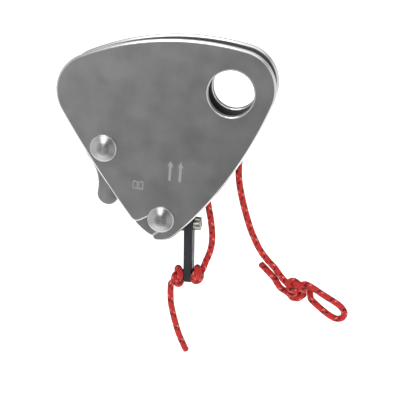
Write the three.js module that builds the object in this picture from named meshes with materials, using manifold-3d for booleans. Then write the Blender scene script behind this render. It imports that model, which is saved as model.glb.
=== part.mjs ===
// Mid-line rope clamp: two steel side plates riveted round an anvil and a sprung cam, with a release arm
// and a red tow cord. Millimetres. X runs right, Y runs back through the plates, Z runs up. The origin is
// the centre of the karabiner eye, half way through the thickness.
import * as THREE from 'three';
import * as BufferGeometryUtils from 'three/addons/utils/BufferGeometryUtils.js';
import Module from 'manifold-3d';

const wasm = await Module();
wasm.setup();

// ---- driving dimensions -------------------------------------------------------------------------------
const PLATE_THICKNESS = 4;
const PLATE_GAP = 13; // room between the plates for the rope
const PLATE_CHAMFER = 0.85;
const EYE_RADIUS = 11;
const CORNERS = {
  left: { x: -65.6, z: -7.4, r: 19.2 },
  eye: { x: 2.1, z: 2.2, r: 18.8 },
  foot: { x: -30.4, z: -67.3, r: 12.1 },
};
const SIDE_RADII = { top: 130, right: 193, left: 509 };
const UPPER = { x: -59.9, z: -33.9 }; // axis of the rivet that the anvil and the front plate hang on
const LOWER = { x: -29, z: -67.3 }; // axis of the rivet that the cam turns on
const CLEARANCE = 0.2; // between a shank and its hole
const FACETS = 32; // round a rivet

const RIVET = { head: 6.8, headRise: 2.1, flat: 2.7, rim: 0.9, shank: 4, neck: 3.4, tail: 5.2, tailRise: 1.4 };
const REAR_WASHER = { r: 6.6, t: 0.9 };
const PIVOT_WASHER = { r: 7.4, t: 0.5 };
const NOTCH_HALF_WIDTH = 4.4;
const HOOK_FILLET = 3.6;
const LIP_FILLET = 2.2;

const ANVIL = { hub: 11.5, nose: 5.5, noseX: -58.2, noseZ: -59.8, waist: 20, groove: 16, chamfer: 0.5 };
const DOWEL_RADIUS = 1.5;

const ARM_TILT = THREE.MathUtils.degToRad(3.7);
const ARM = { left: 10.4, width: 4.5, depth: 8.5, top: 4, bottom: -37, bevel: 0.45 };
const SCREW = { drop: 5, head: 3.5, headLength: 4, shank: 1.9, reach: 6.5, socket: 1.75, socketDepth: 2.2 };
const CORD_HOLE_DROP = 33;
const CORD_HOLE_RADIUS = 1.9;

const CAM = { flat: 10.15, relief: 9.5, bore: 5.4, recess: 7.5, recessFloor: 1.2, rearFace: 4.6, hubArc: 10.6 };
const CAM_SIDE_GAP = 0.3;
const CAM_SPIRAL = { from: 98, to: 170, r0: 11, r1: 16.3, toothDepth: 0.55, toothPitch: 4 };
const CAM_TAIL = { halfDepth: 3.4, drop: 8.3 };
const CAM_STOP = { angle: 84, orbit: 12, r: 2.2, neck: 1.5, halfAngle: 11, travel: 45 };
const SPRING = { r: 6.4, wire: 0.5, turns: 3, pitch: 1.2, start: 1.9, leg: 14 };

const SPOOL = { x: -1.1, z: -30, core: 5.55, flange: 8.6, groove: 2, width: 6, boss: 4.2 };
const SPOOL_RIVET = { r: 2.4, head: 4, rise: 1.3, tail: 3.8 };

const CORD_RADIUS = 1.5;
const CORD_WRAP = SPOOL.core + CORD_RADIUS + 0.25; // radius of the cord's centre line over the guide
const JOIN_GAP = 0.6; // between the cord's two stretches, on top of the guide

// ---- derived planes -----------------------------------------------------------------------------------
const INNER = PLATE_GAP / 2;
const OUTER = INNER + PLATE_THICKNESS;
const FRONT_HEAD = OUTER + CLEARANCE; // underside of the front rivet heads

// ---- materials ----------------------------------------------------------------------------------------
const finish = (color, roughness, metalness) =>
  new THREE.MeshStandardMaterial({ color, roughness, metalness });
const brushedSteel = () => finish(0x8d8e90, 0.38, 1);
const turnedSteel = () => finish(0xb4b5b7, 0.28, 1);
const forgedSteel = () => finish(0x77787a, 0.45, 1);
const springSteel = () => finish(0x9a9ba0, 0.3, 1);
const bronze = () => finish(0xb0803f, 0.4, 1);
const blackNylon = () => finish(0x2c2f33, 0.6, 0);
const cordRed = () => finish(0xc42a2c, 0.85, 0);

// ---- plane geometry helpers ---------------------------------------------------------------------------
const rad = THREE.MathUtils.degToRad;
const polar = (centre, r, degrees) =>
  new THREE.Vector2(centre.x + r * Math.cos(rad(degrees)), centre.z + r * Math.sin(rad(degrees)));
const ORIGIN = { x: 0, z: 0 };

/** Centre of a circle at distance ra from a and rb from b, on the left of a-b when side is 1. */
function apart(a, ra, b, rb, side) {
  const d = Math.hypot(b.x - a.x, b.z - a.z);
  const ux = (b.x - a.x) / d;
  const uz = (b.z - a.z) / d;
  const along = (ra * ra - rb * rb + d * d) / (2 * d);
  const off = side * Math.sqrt(ra * ra - along * along);
  return { x: a.x + ux * along - uz * off, z: a.z + uz * along + ux * off };
}

const heading = (from, to) => Math.atan2(to.z - from.z, to.x - from.x);

/** Points of an arc round centre from angle a to angle b, turning one way only. */
function arc(centre, r, a, b, clockwise, stepDegrees) {
  const turn = 2 * Math.PI;
  const sweep = clockwise ? -((((a - b) % turn) + turn) % turn) : (((b - a) % turn) + turn) % turn;
  const count = Math.max(2, Math.ceil(Math.abs(sweep) / rad(stepDegrees)));
  return Array.from({ length: count + 1 }, (_, i) => {
    const t = a + (sweep * i) / count;
    return new THREE.Vector2(centre.x + r * Math.cos(t), centre.z + r * Math.sin(t));
  });
}

/** A Shape through the points, without the ones that repeat where two arcs meet. */
function outline(points) {
  const kept = points.filter((p, i) => p.distanceTo(points[(i + 1) % points.length]) > 0.02);
  return new THREE.Shape(kept);
}

/** A round hole, counter-clockwise because the plates' rims run clockwise. */
function hole(x, z, r, facets = FACETS) {
  return new THREE.Path(Array.from({ length: facets }, (_, i) => polar({ x, z }, r, (360 * i) / facets)));
}

// ---- solid geometry helpers ---------------------------------------------------------------------------
/** Welds a geometry into one closed surface that faces outward. */
function closed(geometry) {
  geometry.deleteAttribute('normal');
  geometry.deleteAttribute('uv');
  const welded = BufferGeometryUtils.mergeVertices(geometry, 1e-4);
  const index = welded.index.array;
  const p = welded.attributes.position;
  const faces = [];
  let volume = 0;
  const a = new THREE.Vector3();
  const b = new THREE.Vector3();
  const c = new THREE.Vector3();
  for (let i = 0; i < index.length; i += 3) {
    const [u, v, w] = [index[i], index[i + 1], index[i + 2]];
    if (u === v || v === w || u === w) continue;
    faces.push([u, v, w]);
    a.fromBufferAttribute(p, u);
    b.fromBufferAttribute(p, v);
    c.fromBufferAttribute(p, w);
    volume += a.dot(b.cross(c));
  }
  welded.setIndex(faces.flatMap(([u, v, w]) => (volume < 0 ? [u, w, v] : [u, v, w])));
  welded.computeVertexNormals();
  return welded;
}

function toSolid(geometry) {
  const g = closed(geometry.clone());
  return new wasm.Manifold(
    new wasm.Mesh({
      numProp: 3,
      vertProperties: new Float32Array(g.attributes.position.array),
      triVerts: new Uint32Array(g.index.array),
    }),
  );
}

function fromSolid(solid) {
  const mesh = solid.getMesh();
  const geometry = new THREE.BufferGeometry();
  geometry.setAttribute('position', new THREE.BufferAttribute(mesh.vertProperties, 3));
  geometry.setIndex(new THREE.BufferAttribute(mesh.triVerts, 1));
  geometry.computeVertexNormals();
  return geometry;
}

const cut = (body, ...tools) => fromSolid(tools.reduce((s, t) => s.subtract(toSolid(t)), toSolid(body)));
const join = (body, ...others) => fromSolid(others.reduce((s, t) => s.add(toSolid(t)), toSolid(body)));

/** A shape in the XZ plane, thickened from y = front to y = back, with both rims chamfered. */
function slab(shape, front, back, chamfer = 0) {
  const geometry = new THREE.ExtrudeGeometry(shape, {
    depth: back - front - 2 * chamfer,
    bevelEnabled: chamfer > 0,
    bevelThickness: chamfer,
    bevelSize: chamfer,
    bevelOffset: -chamfer,
    bevelSegments: 1,
    steps: 1,
    curveSegments: 12,
  });
  geometry.rotateX(Math.PI / 2);
  geometry.translate(0, back - chamfer, 0);
  return closed(geometry);
}

/** Turns a closed profile of [radius, y] pairs round an axis along Y through x, z. */
function turned(profile, x, z, facets = FACETS) {
  const points = profile.map(([r, y]) => new THREE.Vector2(r, y));
  const geometry = new THREE.LatheGeometry(points, facets);
  geometry.translate(x, 0, z);
  return closed(geometry);
}

const ring = (inner, outer, front, back) => [
  [inner, front],
  [outer, front],
  [outer, back],
  [inner, back],
  [inner, front],
];

/** A round bar along X. */
function barX(r, x0, x1, z, facets = 24) {
  const geometry = new THREE.CylinderGeometry(r, r, x1 - x0, facets);
  geometry.rotateZ(Math.PI / 2);
  geometry.translate((x0 + x1) / 2, 0, z);
  return closed(geometry);
}

/** A round bar along Y. */
function barY(r, front, back, x, z, facets = 24) {
  const geometry = new THREE.CylinderGeometry(r, r, back - front, facets);
  geometry.translate(x, (front + back) / 2, z);
  return closed(geometry);
}

/** A round section swept along a curve. */
function sweep(curve, radius, sides, steps) {
  const section = new THREE.Shape(
    Array.from({ length: sides }, (_, i) => polar(ORIGIN, radius, (360 * i) / sides)),
  );
  return closed(new THREE.ExtrudeGeometry(section, { steps, bevelEnabled: false, extrudePath: curve }));
}

function piece(name, geometry, material) {
  const mesh = new THREE.Mesh(geometry, material);
  mesh.name = name;
  return mesh;
}

// ---- side plates --------------------------------------------------------------------------------------
const SIDES = {
  top: apart(CORNERS.left, SIDE_RADII.top - CORNERS.left.r, CORNERS.eye, SIDE_RADII.top - CORNERS.eye.r, -1),
  right: apart(CORNERS.eye, SIDE_RADII.right - CORNERS.eye.r, CORNERS.foot, SIDE_RADII.right - CORNERS.foot.r, -1),
  left: apart(CORNERS.foot, SIDE_RADII.left - CORNERS.foot.r, CORNERS.left, SIDE_RADII.left - CORNERS.left.r, -1),
};
const CORNER_STEP = 5;
const SIDE_STEP = { top: 4, right: 2.6, left: 1 };

/** Clockwise rim from the left corner, over the eye, down to the foot corner. */
function upperRim() {
  const { left, eye, foot } = CORNERS;
  const { top, right, left: west } = SIDES;
  return [
    ...arc(left, left.r, heading(west, left), heading(top, left), true, CORNER_STEP),
    ...arc(top, SIDE_RADII.top, heading(top, left), heading(top, eye), true, SIDE_STEP.top),
    ...arc(eye, eye.r, heading(top, eye), heading(right, eye), true, CORNER_STEP),
    ...arc(right, SIDE_RADII.right, heading(right, eye), heading(right, foot), true, SIDE_STEP.right),
  ];
}

function plainRim() {
  const { left, foot } = CORNERS;
  const { right, left: west } = SIDES;
  return [
    ...upperRim(),
    ...arc(foot, foot.r, heading(right, foot), heading(west, foot), true, CORNER_STEP),
    ...arc(west, SIDE_RADII.left, heading(west, foot), heading(west, left), true, SIDE_STEP.left),
  ];
}

/** The rim with a notch that lets the plate swing off the lower rivet, on an arc about the upper one. */
function notchedRim() {
  const { left, foot } = CORNERS;
  const { right, left: west } = SIDES;
  const reach = Math.hypot(LOWER.x - UPPER.x, LOWER.z - UPPER.z);
  const near = reach - NOTCH_HALF_WIDTH;
  const far = reach + NOTCH_HALF_WIDTH;
  const lip = apart(UPPER, far + LIP_FILLET, foot, foot.r - LIP_FILLET, -1);
  const hook = apart(UPPER, near - HOOK_FILLET, west, SIDE_RADII.left - HOOK_FILLET, -1);
  const seat = heading(UPPER, LOWER);
  return [
    ...upperRim(),
    ...arc(foot, foot.r, heading(right, foot), heading(foot, lip), true, CORNER_STEP),
    ...arc(lip, LIP_FILLET, heading(foot, lip), heading(lip, UPPER), true, 15),
    ...arc(UPPER, far, heading(UPPER, lip), seat, false, 4),
    ...arc(LOWER, NOTCH_HALF_WIDTH, seat, seat + Math.PI, false, 15),
    ...arc(UPPER, near, seat, heading(UPPER, hook), true, 4),
    ...arc(hook, HOOK_FILLET, heading(UPPER, hook), heading(west, hook), true, 12),
    ...arc(west, SIDE_RADII.left, heading(west, hook), heading(west, left), true, SIDE_STEP.left),
  ];
}

function backPlate() {
  const shape = outline(plainRim());
  shape.holes.push(hole(0, 0, EYE_RADIUS, 56));
  const plate = slab(shape, INNER, OUTER, PLATE_CHAMFER);
  const through = (r, at) => barY(r, INNER - 1, OUTER + 1, at.x, at.z);
  return cut(
    plate,
    through(RIVET.neck + CLEARANCE, UPPER),
    through(RIVET.neck + CLEARANCE, LOWER),
    through(SPOOL_RIVET.r + CLEARANCE, SPOOL),
    through(CAM_STOP.neck + CLEARANCE, STOP_AT),
    ...DOWELS.map((at) => through(DOWEL_RADIUS + CLEARANCE, at)),
  );
}

function frontPlate() {
  const shape = outline(notchedRim());
  shape.holes.push(hole(0, 0, EYE_RADIUS, 56));
  const plate = slab(shape, -OUTER, -INNER, PLATE_CHAMFER);
  return cut(plate, barY(RIVET.shank + CLEARANCE, -OUTER - 1, -INNER + 1, UPPER.x, UPPER.z, FACETS));
}

// ---- rivets, washers and pins -------------------------------------------------------------------------
/** Stepped rivet: a coned front head, a bearing shank, a neck through the back plate and a peened tail. */
function pivotRivet(at) {
  const crown = FRONT_HEAD + RIVET.headRise;
  const tail = OUTER + REAR_WASHER.t;
  return turned(
    [
      [0, -crown],
      [RIVET.flat, -crown],
      [RIVET.head - 0.35, -FRONT_HEAD - RIVET.rim],
      [RIVET.head, -FRONT_HEAD - RIVET.rim + 0.35],
      [RIVET.head, -FRONT_HEAD],
      [RIVET.shank, -FRONT_HEAD],
      [RIVET.shank, INNER],
      [RIVET.neck, INNER],
      [RIVET.neck, tail],
      [RIVET.tail, tail],
      [RIVET.tail - 0.4, tail + 0.7 * RIVET.tailRise],
      [RIVET.tail - 1.6, tail + RIVET.tailRise],
      [0, tail + RIVET.tailRise],
    ],
    at.x,
    at.z,
  );
}

const rearWasher = (at) =>
  turned(ring(RIVET.neck + CLEARANCE, REAR_WASHER.r, OUTER, OUTER + REAR_WASHER.t), at.x, at.z);

const STOP_AT = {
  x: LOWER.x + CAM_STOP.orbit * Math.cos(rad(CAM_STOP.angle)),
  z: LOWER.z + CAM_STOP.orbit * Math.sin(rad(CAM_STOP.angle)),
};

const stopPin = () =>
  turned(
    [
      [0, -INNER + CAM_SIDE_GAP],
      [CAM_STOP.r - 0.3, -INNER + CAM_SIDE_GAP],
      [CAM_STOP.r, -INNER + CAM_SIDE_GAP + 0.3],
      [CAM_STOP.r, INNER],
      [CAM_STOP.neck, INNER],
      [CAM_STOP.neck, OUTER],
      [0, OUTER],
    ],
    STOP_AT.x,
    STOP_AT.z,
    20,
  );

// ---- anvil --------------------------------------------------------------------------------------------
const NOSE_AT = { x: ANVIL.noseX, z: ANVIL.noseZ };
const DOWELS = [
  { x: UPPER.x, z: UPPER.z + 7.8 },
  { x: UPPER.x + 2.7, z: UPPER.z - 12 },
];

/** Hub round the upper rivet and a nose below it, with a waist on the left and a rope face on the right. */
function anvil() {
  const waist = apart(UPPER, ANVIL.hub + ANVIL.waist, NOSE_AT, ANVIL.nose + ANVIL.waist, -1);
  const face = apart(UPPER, ANVIL.hub + ANVIL.groove, NOSE_AT, ANVIL.nose + ANVIL.groove, 1);
  const rim = [
    ...arc(UPPER, ANVIL.hub, heading(UPPER, waist), heading(UPPER, face), true, 8),
    ...arc(face, ANVIL.groove, heading(face, UPPER), heading(face, NOSE_AT), false, 8),
    ...arc(NOSE_AT, ANVIL.nose, heading(NOSE_AT, face), heading(NOSE_AT, waist), true, 12),
    ...arc(waist, ANVIL.waist, heading(waist, NOSE_AT), heading(waist, UPPER), false, 8),
  ];
  const front = -INNER + PIVOT_WASHER.t + 0.1;
  const block = slab(outline(rim), front, INNER, ANVIL.chamfer);
  const bores = DOWELS.map((at) => barY(DOWEL_RADIUS + CLEARANCE, -INNER, INNER + 1, at.x, at.z));
  return cut(block, barY(RIVET.shank + CLEARANCE, -INNER - 1, INNER + 1, UPPER.x, UPPER.z, FACETS), ...bores);
}

const dowel = (at) => barY(DOWEL_RADIUS, -INNER + 1, OUTER - 0.3, at.x, at.z, 20);

// ---- cord guide ---------------------------------------------------------------------------------------
function guideSpool() {
  const bore = SPOOL_RIVET.r + CLEARANCE;
  const half = SPOOL.width / 2;
  return turned(
    [
      [bore, -half],
      [SPOOL.flange - 0.3, -half],
      [SPOOL.flange, -half + 0.3],
      [SPOOL.flange, -SPOOL.groove - 0.2],
      [SPOOL.core + 1, -SPOOL.groove + 0.1],
      [SPOOL.core + 0.25, -SPOOL.groove / 2],
      [SPOOL.core, 0],
      [SPOOL.core + 0.25, SPOOL.groove / 2],
      [SPOOL.core + 1, SPOOL.groove - 0.1],
      [SPOOL.flange, SPOOL.groove + 0.2],
      [SPOOL.flange, half],
      [SPOOL.boss, half],
      [SPOOL.boss, INNER],
      [bore, INNER],
      [bore, -half],
    ],
    SPOOL.x,
    SPOOL.z,
  );
}

function guideRivet() {
  const half = SPOOL.width / 2;
  return turned(
    [
      [0, -half - SPOOL_RIVET.rise],
      [SPOOL_RIVET.head - 1.2, -half - SPOOL_RIVET.rise],
      [SPOOL_RIVET.head, -half - 0.4],
      [SPOOL_RIVET.head, -half],
      [SPOOL_RIVET.r, -half],
      [SPOOL_RIVET.r, OUTER],
      [SPOOL_RIVET.tail, OUTER],
      [SPOOL_RIVET.tail - 1.2, OUTER + SPOOL_RIVET.rise],
      [0, OUTER + SPOOL_RIVET.rise],
    ],
    SPOOL.x,
    SPOOL.z,
    28,
  );
}

// ---- cam and its release arm, in a frame turned with the arm, with its origin on the lower rivet --------
const TILT_DEGREES = THREE.MathUtils.radToDeg(ARM_TILT);
const STOP_ANGLE = CAM_STOP.angle - TILT_DEGREES;

/** Radius of the gripping face: a spiral that grows as the cam closes, cut with fine teeth. */
function spiral(degrees) {
  const { from, to, r0, r1, toothDepth, toothPitch } = CAM_SPIRAL;
  const bare = r0 + ((r1 - r0) * (degrees - from)) / (to - from);
  const inTooth = ((degrees - from) / toothPitch) % 1;
  return degrees > from + 8 && inTooth >= 0.5 ? bare - toothDepth : bare;
}

function camHub() {
  const high = STOP_ANGLE + CAM_STOP.halfAngle;
  const low = STOP_ANGLE - CAM_STOP.travel - CAM_STOP.halfAngle;
  const grip = [];
  for (let a = CAM_SPIRAL.from; a < CAM_SPIRAL.to; a += CAM_SPIRAL.toothPitch / 2) {
    grip.push(polar(ORIGIN, spiral(a), a));
  }
  const nose = new THREE.SplineCurve([
    polar(ORIGIN, CAM_SPIRAL.r1, CAM_SPIRAL.to),
    polar(ORIGIN, 15.9, 183),
    polar(ORIGIN, 14.1, 204),
    polar(ORIGIN, 12.3, 245),
    polar(ORIGIN, CAM.hubArc, 296),
  ]);
  return outline([
    ...arc(ORIGIN, CAM.relief, rad(low), rad(high), false, 7),
    polar(ORIGIN, CAM_SPIRAL.r0, high),
    ...grip,
    ...nose.getPoints(22),
    ...arc(ORIGIN, CAM.hubArc, rad(300), rad(343), false, 8),
    new THREE.Vector2(CAM.flat, CAM.flat * Math.tan(rad(low))),
  ]);
}

/** The part of the cam that carries the teeth, as deep as the gap between the plates allows. */
function camNose() {
  const grip = [];
  for (let a = CAM_SPIRAL.from; a < CAM_SPIRAL.to; a += CAM_SPIRAL.toothPitch / 2) {
    grip.push(polar(ORIGIN, spiral(a), a));
  }
  const tip = new THREE.SplineCurve([
    polar(ORIGIN, CAM_SPIRAL.r1, CAM_SPIRAL.to),
    polar(ORIGIN, 15.9, 183),
    polar(ORIGIN, 14.1, 204),
    polar(ORIGIN, 12.3, 245),
  ]);
  const back = arc(ORIGIN, CAM.relief - 1, rad(245), rad(CAM_SPIRAL.from), true, 8);
  return outline([...grip, ...tip.getPoints(16), ...back]);
}

function cam() {
  const front = -INNER + CAM_SIDE_GAP;
  const hub = slab(camHub(), front, CAM.rearFace, 0.3);
  const nose = slab(camNose(), front + 0.5, INNER - CAM_SIDE_GAP, 0.3);
  const tail = new THREE.BoxGeometry(CAM.flat - 2, 2 * CAM_TAIL.halfDepth, CAM_TAIL.drop + 3);
  tail.translate((CAM.flat + 2) / 2, 0, (3 - CAM_TAIL.drop) / 2);
  return cut(
    join(hub, nose, tail),
    barY(CAM.bore, -INNER - 1, INNER + 1, 0, 0, FACETS),
    barY(CAM.recess, CAM.recessFloor, INNER + 1, 0, 0, FACETS),
    barY(0.8, -0.6, CAM.recessFloor + 0.5, SPRING.r * Math.cos(SPRING_START), SPRING.r * Math.sin(SPRING_START), 10),
    barX(SCREW.shank + 0.25, CAM.flat - SCREW.reach, CAM.flat + 1, -SCREW.drop),
  );
}

const camBush = () =>
  turned(ring(RIVET.shank + CLEARANCE, CAM.bore - 0.15, -INNER + CAM_SIDE_GAP, CAM.recessFloor - 0.1), 0, 0);

const camSpacer = () =>
  turned(ring(RIVET.shank + CLEARANCE, 5.3, CAM.recessFloor + 0.1, INNER), LOWER.x, LOWER.z);

// The spring's leg leaves the coil on a tangent and rests on the right of the stop pin.
const LEG_LEAN = Math.acos((SPRING.r - CAM_STOP.r - SPRING.wire - 0.15) / CAM_STOP.orbit);
const SPRING_END = rad(STOP_ANGLE) - LEG_LEAN;
const SPRING_START = SPRING_END - 2 * Math.PI * SPRING.turns;

class SpringCurve extends THREE.Curve {
  getPoint(t) {
    const coil = 2 * Math.PI * SPRING.turns * SPRING.r;
    const along = t * (SPRING.start + coil + SPRING.leg);
    if (along < SPRING.start) {
      const a = SPRING_START;
      return new THREE.Vector3(SPRING.r * Math.cos(a), along, SPRING.r * Math.sin(a));
    }
    const turn = Math.min(1, (along - SPRING.start) / coil);
    const a = SPRING_START + 2 * Math.PI * SPRING.turns * turn;
    const y = SPRING.start + SPRING.turns * SPRING.pitch * turn;
    const out = Math.max(0, along - SPRING.start - coil);
    return new THREE.Vector3(
      SPRING.r * Math.cos(a) - out * Math.sin(a),
      y,
      SPRING.r * Math.sin(a) + out * Math.cos(a),
    );
  }
}

function releaseArm() {
  const { left, width, depth, top, bottom, bevel } = ARM;
  const right = left + width;
  const side = outline([
    new THREE.Vector2(left, bottom + 1),
    new THREE.Vector2(left + 0.8, bottom),
    new THREE.Vector2(right - 0.5, bottom),
    new THREE.Vector2(right, bottom + 0.5),
    new THREE.Vector2(right, top - 2),
    new THREE.Vector2(right - 2, top),
    new THREE.Vector2(left, top),
  ]);
  const bar = slab(side, -depth / 2, depth / 2, bevel);
  return cut(
    bar,
    barX(SCREW.shank + 0.25, left - 1, right + 1, -SCREW.drop),
    barX(CORD_HOLE_RADIUS, left - 1, right + 1, -CORD_HOLE_DROP),
  );
}

function armScrew() {
  const seat = ARM.left + ARM.width + 0.1;
  const tip = CAM.flat - SCREW.reach + 0.4;
  const profile = [
    [0, tip],
    [SCREW.shank - 0.4, tip],
    [SCREW.shank, tip + 0.5],
    [SCREW.shank, seat],
    [SCREW.head, seat],
    [SCREW.head, seat + SCREW.headLength - 0.4],
    [SCREW.head - 0.4, seat + SCREW.headLength],
    [0, seat + SCREW.headLength],
  ];
  const body = new THREE.LatheGeometry(profile.map(([r, y]) => new THREE.Vector2(r, y)), 28);
  body.rotateZ(-Math.PI / 2);
  body.translate(0, 0, -SCREW.drop);
  const end = seat + SCREW.headLength;
  return cut(body, barX(SCREW.socket, end - SCREW.socketDepth, end + 1, -SCREW.drop, 6));
}

// ---- cord ---------------------------------------------------------------------------------------------
const route = (points) => new THREE.CatmullRomCurve3(points.map(([x, y, z]) => new THREE.Vector3(x, y, z)));

/** Half of the turn over the guide, on the left or on the right, from the top down. */
function overGuide(side, count) {
  return Array.from({ length: count + 1 }, (_, i) => {
    const a = (Math.PI / 2) * (1 - i / count);
    return [SPOOL.x + side * CORD_WRAP * Math.cos(a), 0, SPOOL.z + CORD_WRAP * Math.sin(a)];
  });
}

const liftCord = () =>
  route([
    ...overGuide(-1, 6),
    [-9, 0, -38],
    [-9, 0, -48],
    [-7.4, 0, -59],
    [-5, 0, -69],
    [-3.6, 0, -78],
    [-3.1, 0, -85],
    [-3.9, 0, -89.5],
    [-5.6, 0, -93],
  ]);

const towCord = () =>
  route([
    ...overGuide(1, 6).map(([x, y, z], i) => [i ? x : x + JOIN_GAP, y, z]),
    [6.3, 0, -38],
    [7, 0, -44.5],
    [8.7, 0, -51.5],
    [11.6, 0, -60.5],
    [15.8, 0, -71],
    [21.2, 0, -80.6],
    [26.4, 0, -86.6],
    [32.2, 0, -91.8],
  ]);

const tailCord = () =>
  route([
    [-23.1, 0, -106.6],
    [-23.2, 0, -112.7],
    [-22.6, 0, -118.6],
    [-21.3, 0, -124],
    [-19.3, 0, -130.6],
    [-17, 0, -137],
    [-14.6, 0, -142],
    [-12.3, 0, -146.4],
  ]);

const handLoop = () =>
  route([
    [51, 0, -99.4],
    [55.4, 0, -101],
    [59.6, 0, -102.7],
    [63.6, 0, -104.7],
    [66.9, 0, -107.1],
    [68.6, 0, -110],
    [67.6, 0, -112.8],
    [64.6, 0, -113.6],
    [61, 0, -112.2],
    [57.4, 0, -109.9],
    [53.8, 0, -107.3],
    [50.4, 0, -104.6],
  ]);

const stubCord = () =>
  route([
    [22.9, 0, -88.9],
    [26, 0, -91.6],
    [29, 0, -94.3],
    [31.8, 0, -97],
  ]);

/** A tied knot as one rounded lump, in a frame whose X is the cord's way through it. */
function knot(length, across, depth) {
  const geometry = new THREE.SphereGeometry(1, 14, 10);
  geometry.scale(length / 2, depth / 2, across / 2);
  return closed(geometry);
}

function knotAt(name, size, x, z, turn) {
  const mesh = piece(name, knot(...size), cordRed());
  mesh.position.set(x, 0, z);
  mesh.rotation.y = -turn;
  return mesh;
}

// ---- assembly -----------------------------------------------------------------------------------------
const frame = new THREE.Group();
frame.add(
  piece('back_side_plate', backPlate(), brushedSteel()),
  piece('upper_pivot_rivet', pivotRivet(UPPER), turnedSteel()),
  piece('lower_pivot_rivet', pivotRivet(LOWER), turnedSteel()),
  piece('upper_rear_washer', rearWasher(UPPER), turnedSteel()),
  piece('lower_rear_washer', rearWasher(LOWER), turnedSteel()),
  piece(
    'upper_pivot_washer',
    turned(ring(RIVET.shank + CLEARANCE, PIVOT_WASHER.r, -INNER + 0.05, -INNER + PIVOT_WASHER.t), UPPER.x, UPPER.z),
    bronze(),
  ),
  piece('anvil_block', anvil(), forgedSteel()),
  piece('anvil_dowel_upper', dowel(DOWELS[0]), turnedSteel()),
  piece('anvil_dowel_lower', dowel(DOWELS[1]), turnedSteel()),
  piece('cam_stop_pin', stopPin(), turnedSteel()),
  piece('cam_spacer', camSpacer(), bronze()),
  piece('cord_guide_spool', guideSpool(), turnedSteel()),
  piece('guide_spool_rivet', guideRivet(), turnedSteel()),
  piece('lift_cord', sweep(liftCord(), CORD_RADIUS, 8, 26), cordRed()),
  piece('tow_cord', sweep(towCord(), CORD_RADIUS, 8, 26), cordRed()),
  knotAt('tow_knot', [17, 11, 11], 42.2, -98.3, rad(-20)),
  piece('hand_loop', sweep(handLoop(), CORD_RADIUS, 8, 22), cordRed()),
  piece('loop_tail', sweep(stubCord(), CORD_RADIUS, 8, 3), cordRed()),
);

const swingPlate = new THREE.Group();
swingPlate.add(piece('front_side_plate', frontPlate(), brushedSteel()));

const camGroup = new THREE.Group();
camGroup.position.set(LOWER.x, 0, LOWER.z);
camGroup.rotation.y = -ARM_TILT;
const holeMiddle = ARM.left + ARM.width / 2;
const knotReach = ARM.width / 2 + 0.35;
const leftKnot = knotAt('arm_knot_left', [8, 10.4, 10], holeMiddle - knotReach - 4, -CORD_HOLE_DROP - 0.7, 0);
const rightKnot = knotAt('arm_knot_right', [7.6, 10, 10], holeMiddle + knotReach + 3.8, -CORD_HOLE_DROP, 0);
const through = [
  [holeMiddle - knotReach + 0.1, 0, -CORD_HOLE_DROP],
  [holeMiddle + knotReach - 0.1, 0, -CORD_HOLE_DROP],
];
camGroup.add(
  piece('cam', cam(), forgedSteel()),
  piece('cam_bush', camBush(), bronze()),
  piece('cam_spring', sweep(new SpringCurve(), SPRING.wire, 6, 66), springSteel()),
  piece('release_arm', releaseArm(), blackNylon()),
  piece('arm_screw', armScrew(), turnedSteel()),
  piece('cord_in_arm', sweep(route(through), CORD_RADIUS, 8, 2), cordRed()),
  leftKnot,
  rightKnot,
);
const tail = piece('cord_tail', sweep(tailCord(), CORD_RADIUS, 8, 8), cordRed());

const ropeClamp = new THREE.Group();
ropeClamp.add(frame, swingPlate, camGroup, tail);

export default ropeClamp;
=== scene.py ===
"""Looks of a mid-line rope clamp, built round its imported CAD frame.

Two tumbled steel side plates with bright chamfers, turned pivot rivets, a cast anvil and cam, a moulded
release arm with its cap screw, and one red braided cord that is tied on both sides of the arm, runs over
a guide between the plates and ends in a tied hand loop. Lengths inside the classes are millimetres.
"""

import logging
import math
from collections.abc import Iterable, Sequence
from dataclasses import dataclass, field
from enum import Enum
from typing import Any

import bmesh
import bpy
import numpy as np
from mathutils import Matrix, Vector


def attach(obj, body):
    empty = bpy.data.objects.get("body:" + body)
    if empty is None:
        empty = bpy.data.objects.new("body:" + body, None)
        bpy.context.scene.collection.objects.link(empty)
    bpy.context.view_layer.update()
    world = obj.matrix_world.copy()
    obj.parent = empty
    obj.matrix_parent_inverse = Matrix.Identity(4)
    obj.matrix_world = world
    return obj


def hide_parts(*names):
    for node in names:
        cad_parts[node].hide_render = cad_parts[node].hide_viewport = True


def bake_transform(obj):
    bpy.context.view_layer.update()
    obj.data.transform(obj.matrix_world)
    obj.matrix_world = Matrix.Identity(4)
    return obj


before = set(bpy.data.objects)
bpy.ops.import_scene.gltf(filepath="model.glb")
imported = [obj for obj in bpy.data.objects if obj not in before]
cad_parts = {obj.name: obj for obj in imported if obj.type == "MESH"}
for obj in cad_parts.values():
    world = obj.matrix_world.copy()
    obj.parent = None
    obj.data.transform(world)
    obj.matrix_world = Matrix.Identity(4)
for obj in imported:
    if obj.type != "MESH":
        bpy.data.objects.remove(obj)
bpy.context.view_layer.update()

MM = 0.001
FULL_TURN = 2 * math.pi
LOG = logging.getLogger("rope_clamp")

Point2 = tuple[float, float]
Point3 = tuple[float, float, float]
Colour = tuple[float, float, float]
Socket = bpy.types.NodeSocket

#: Steel nearer to the middle plane than this many millimetres lies inside the gap for the rope, where the plate
#: steel gets painted shade.
INNER_FACE_SHADE_DEPTH = 6.6
#: How near two parts of the tightened cord may lie, in millimetres.
KNOT_CLEARANCE = 2.9


class Body(str, Enum):
    """The CAD bodies that pieces ride on."""

    CHASSIS = "chassis"
    FRONT_PLATE = "front_plate"
    CAM = "cam"


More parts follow.
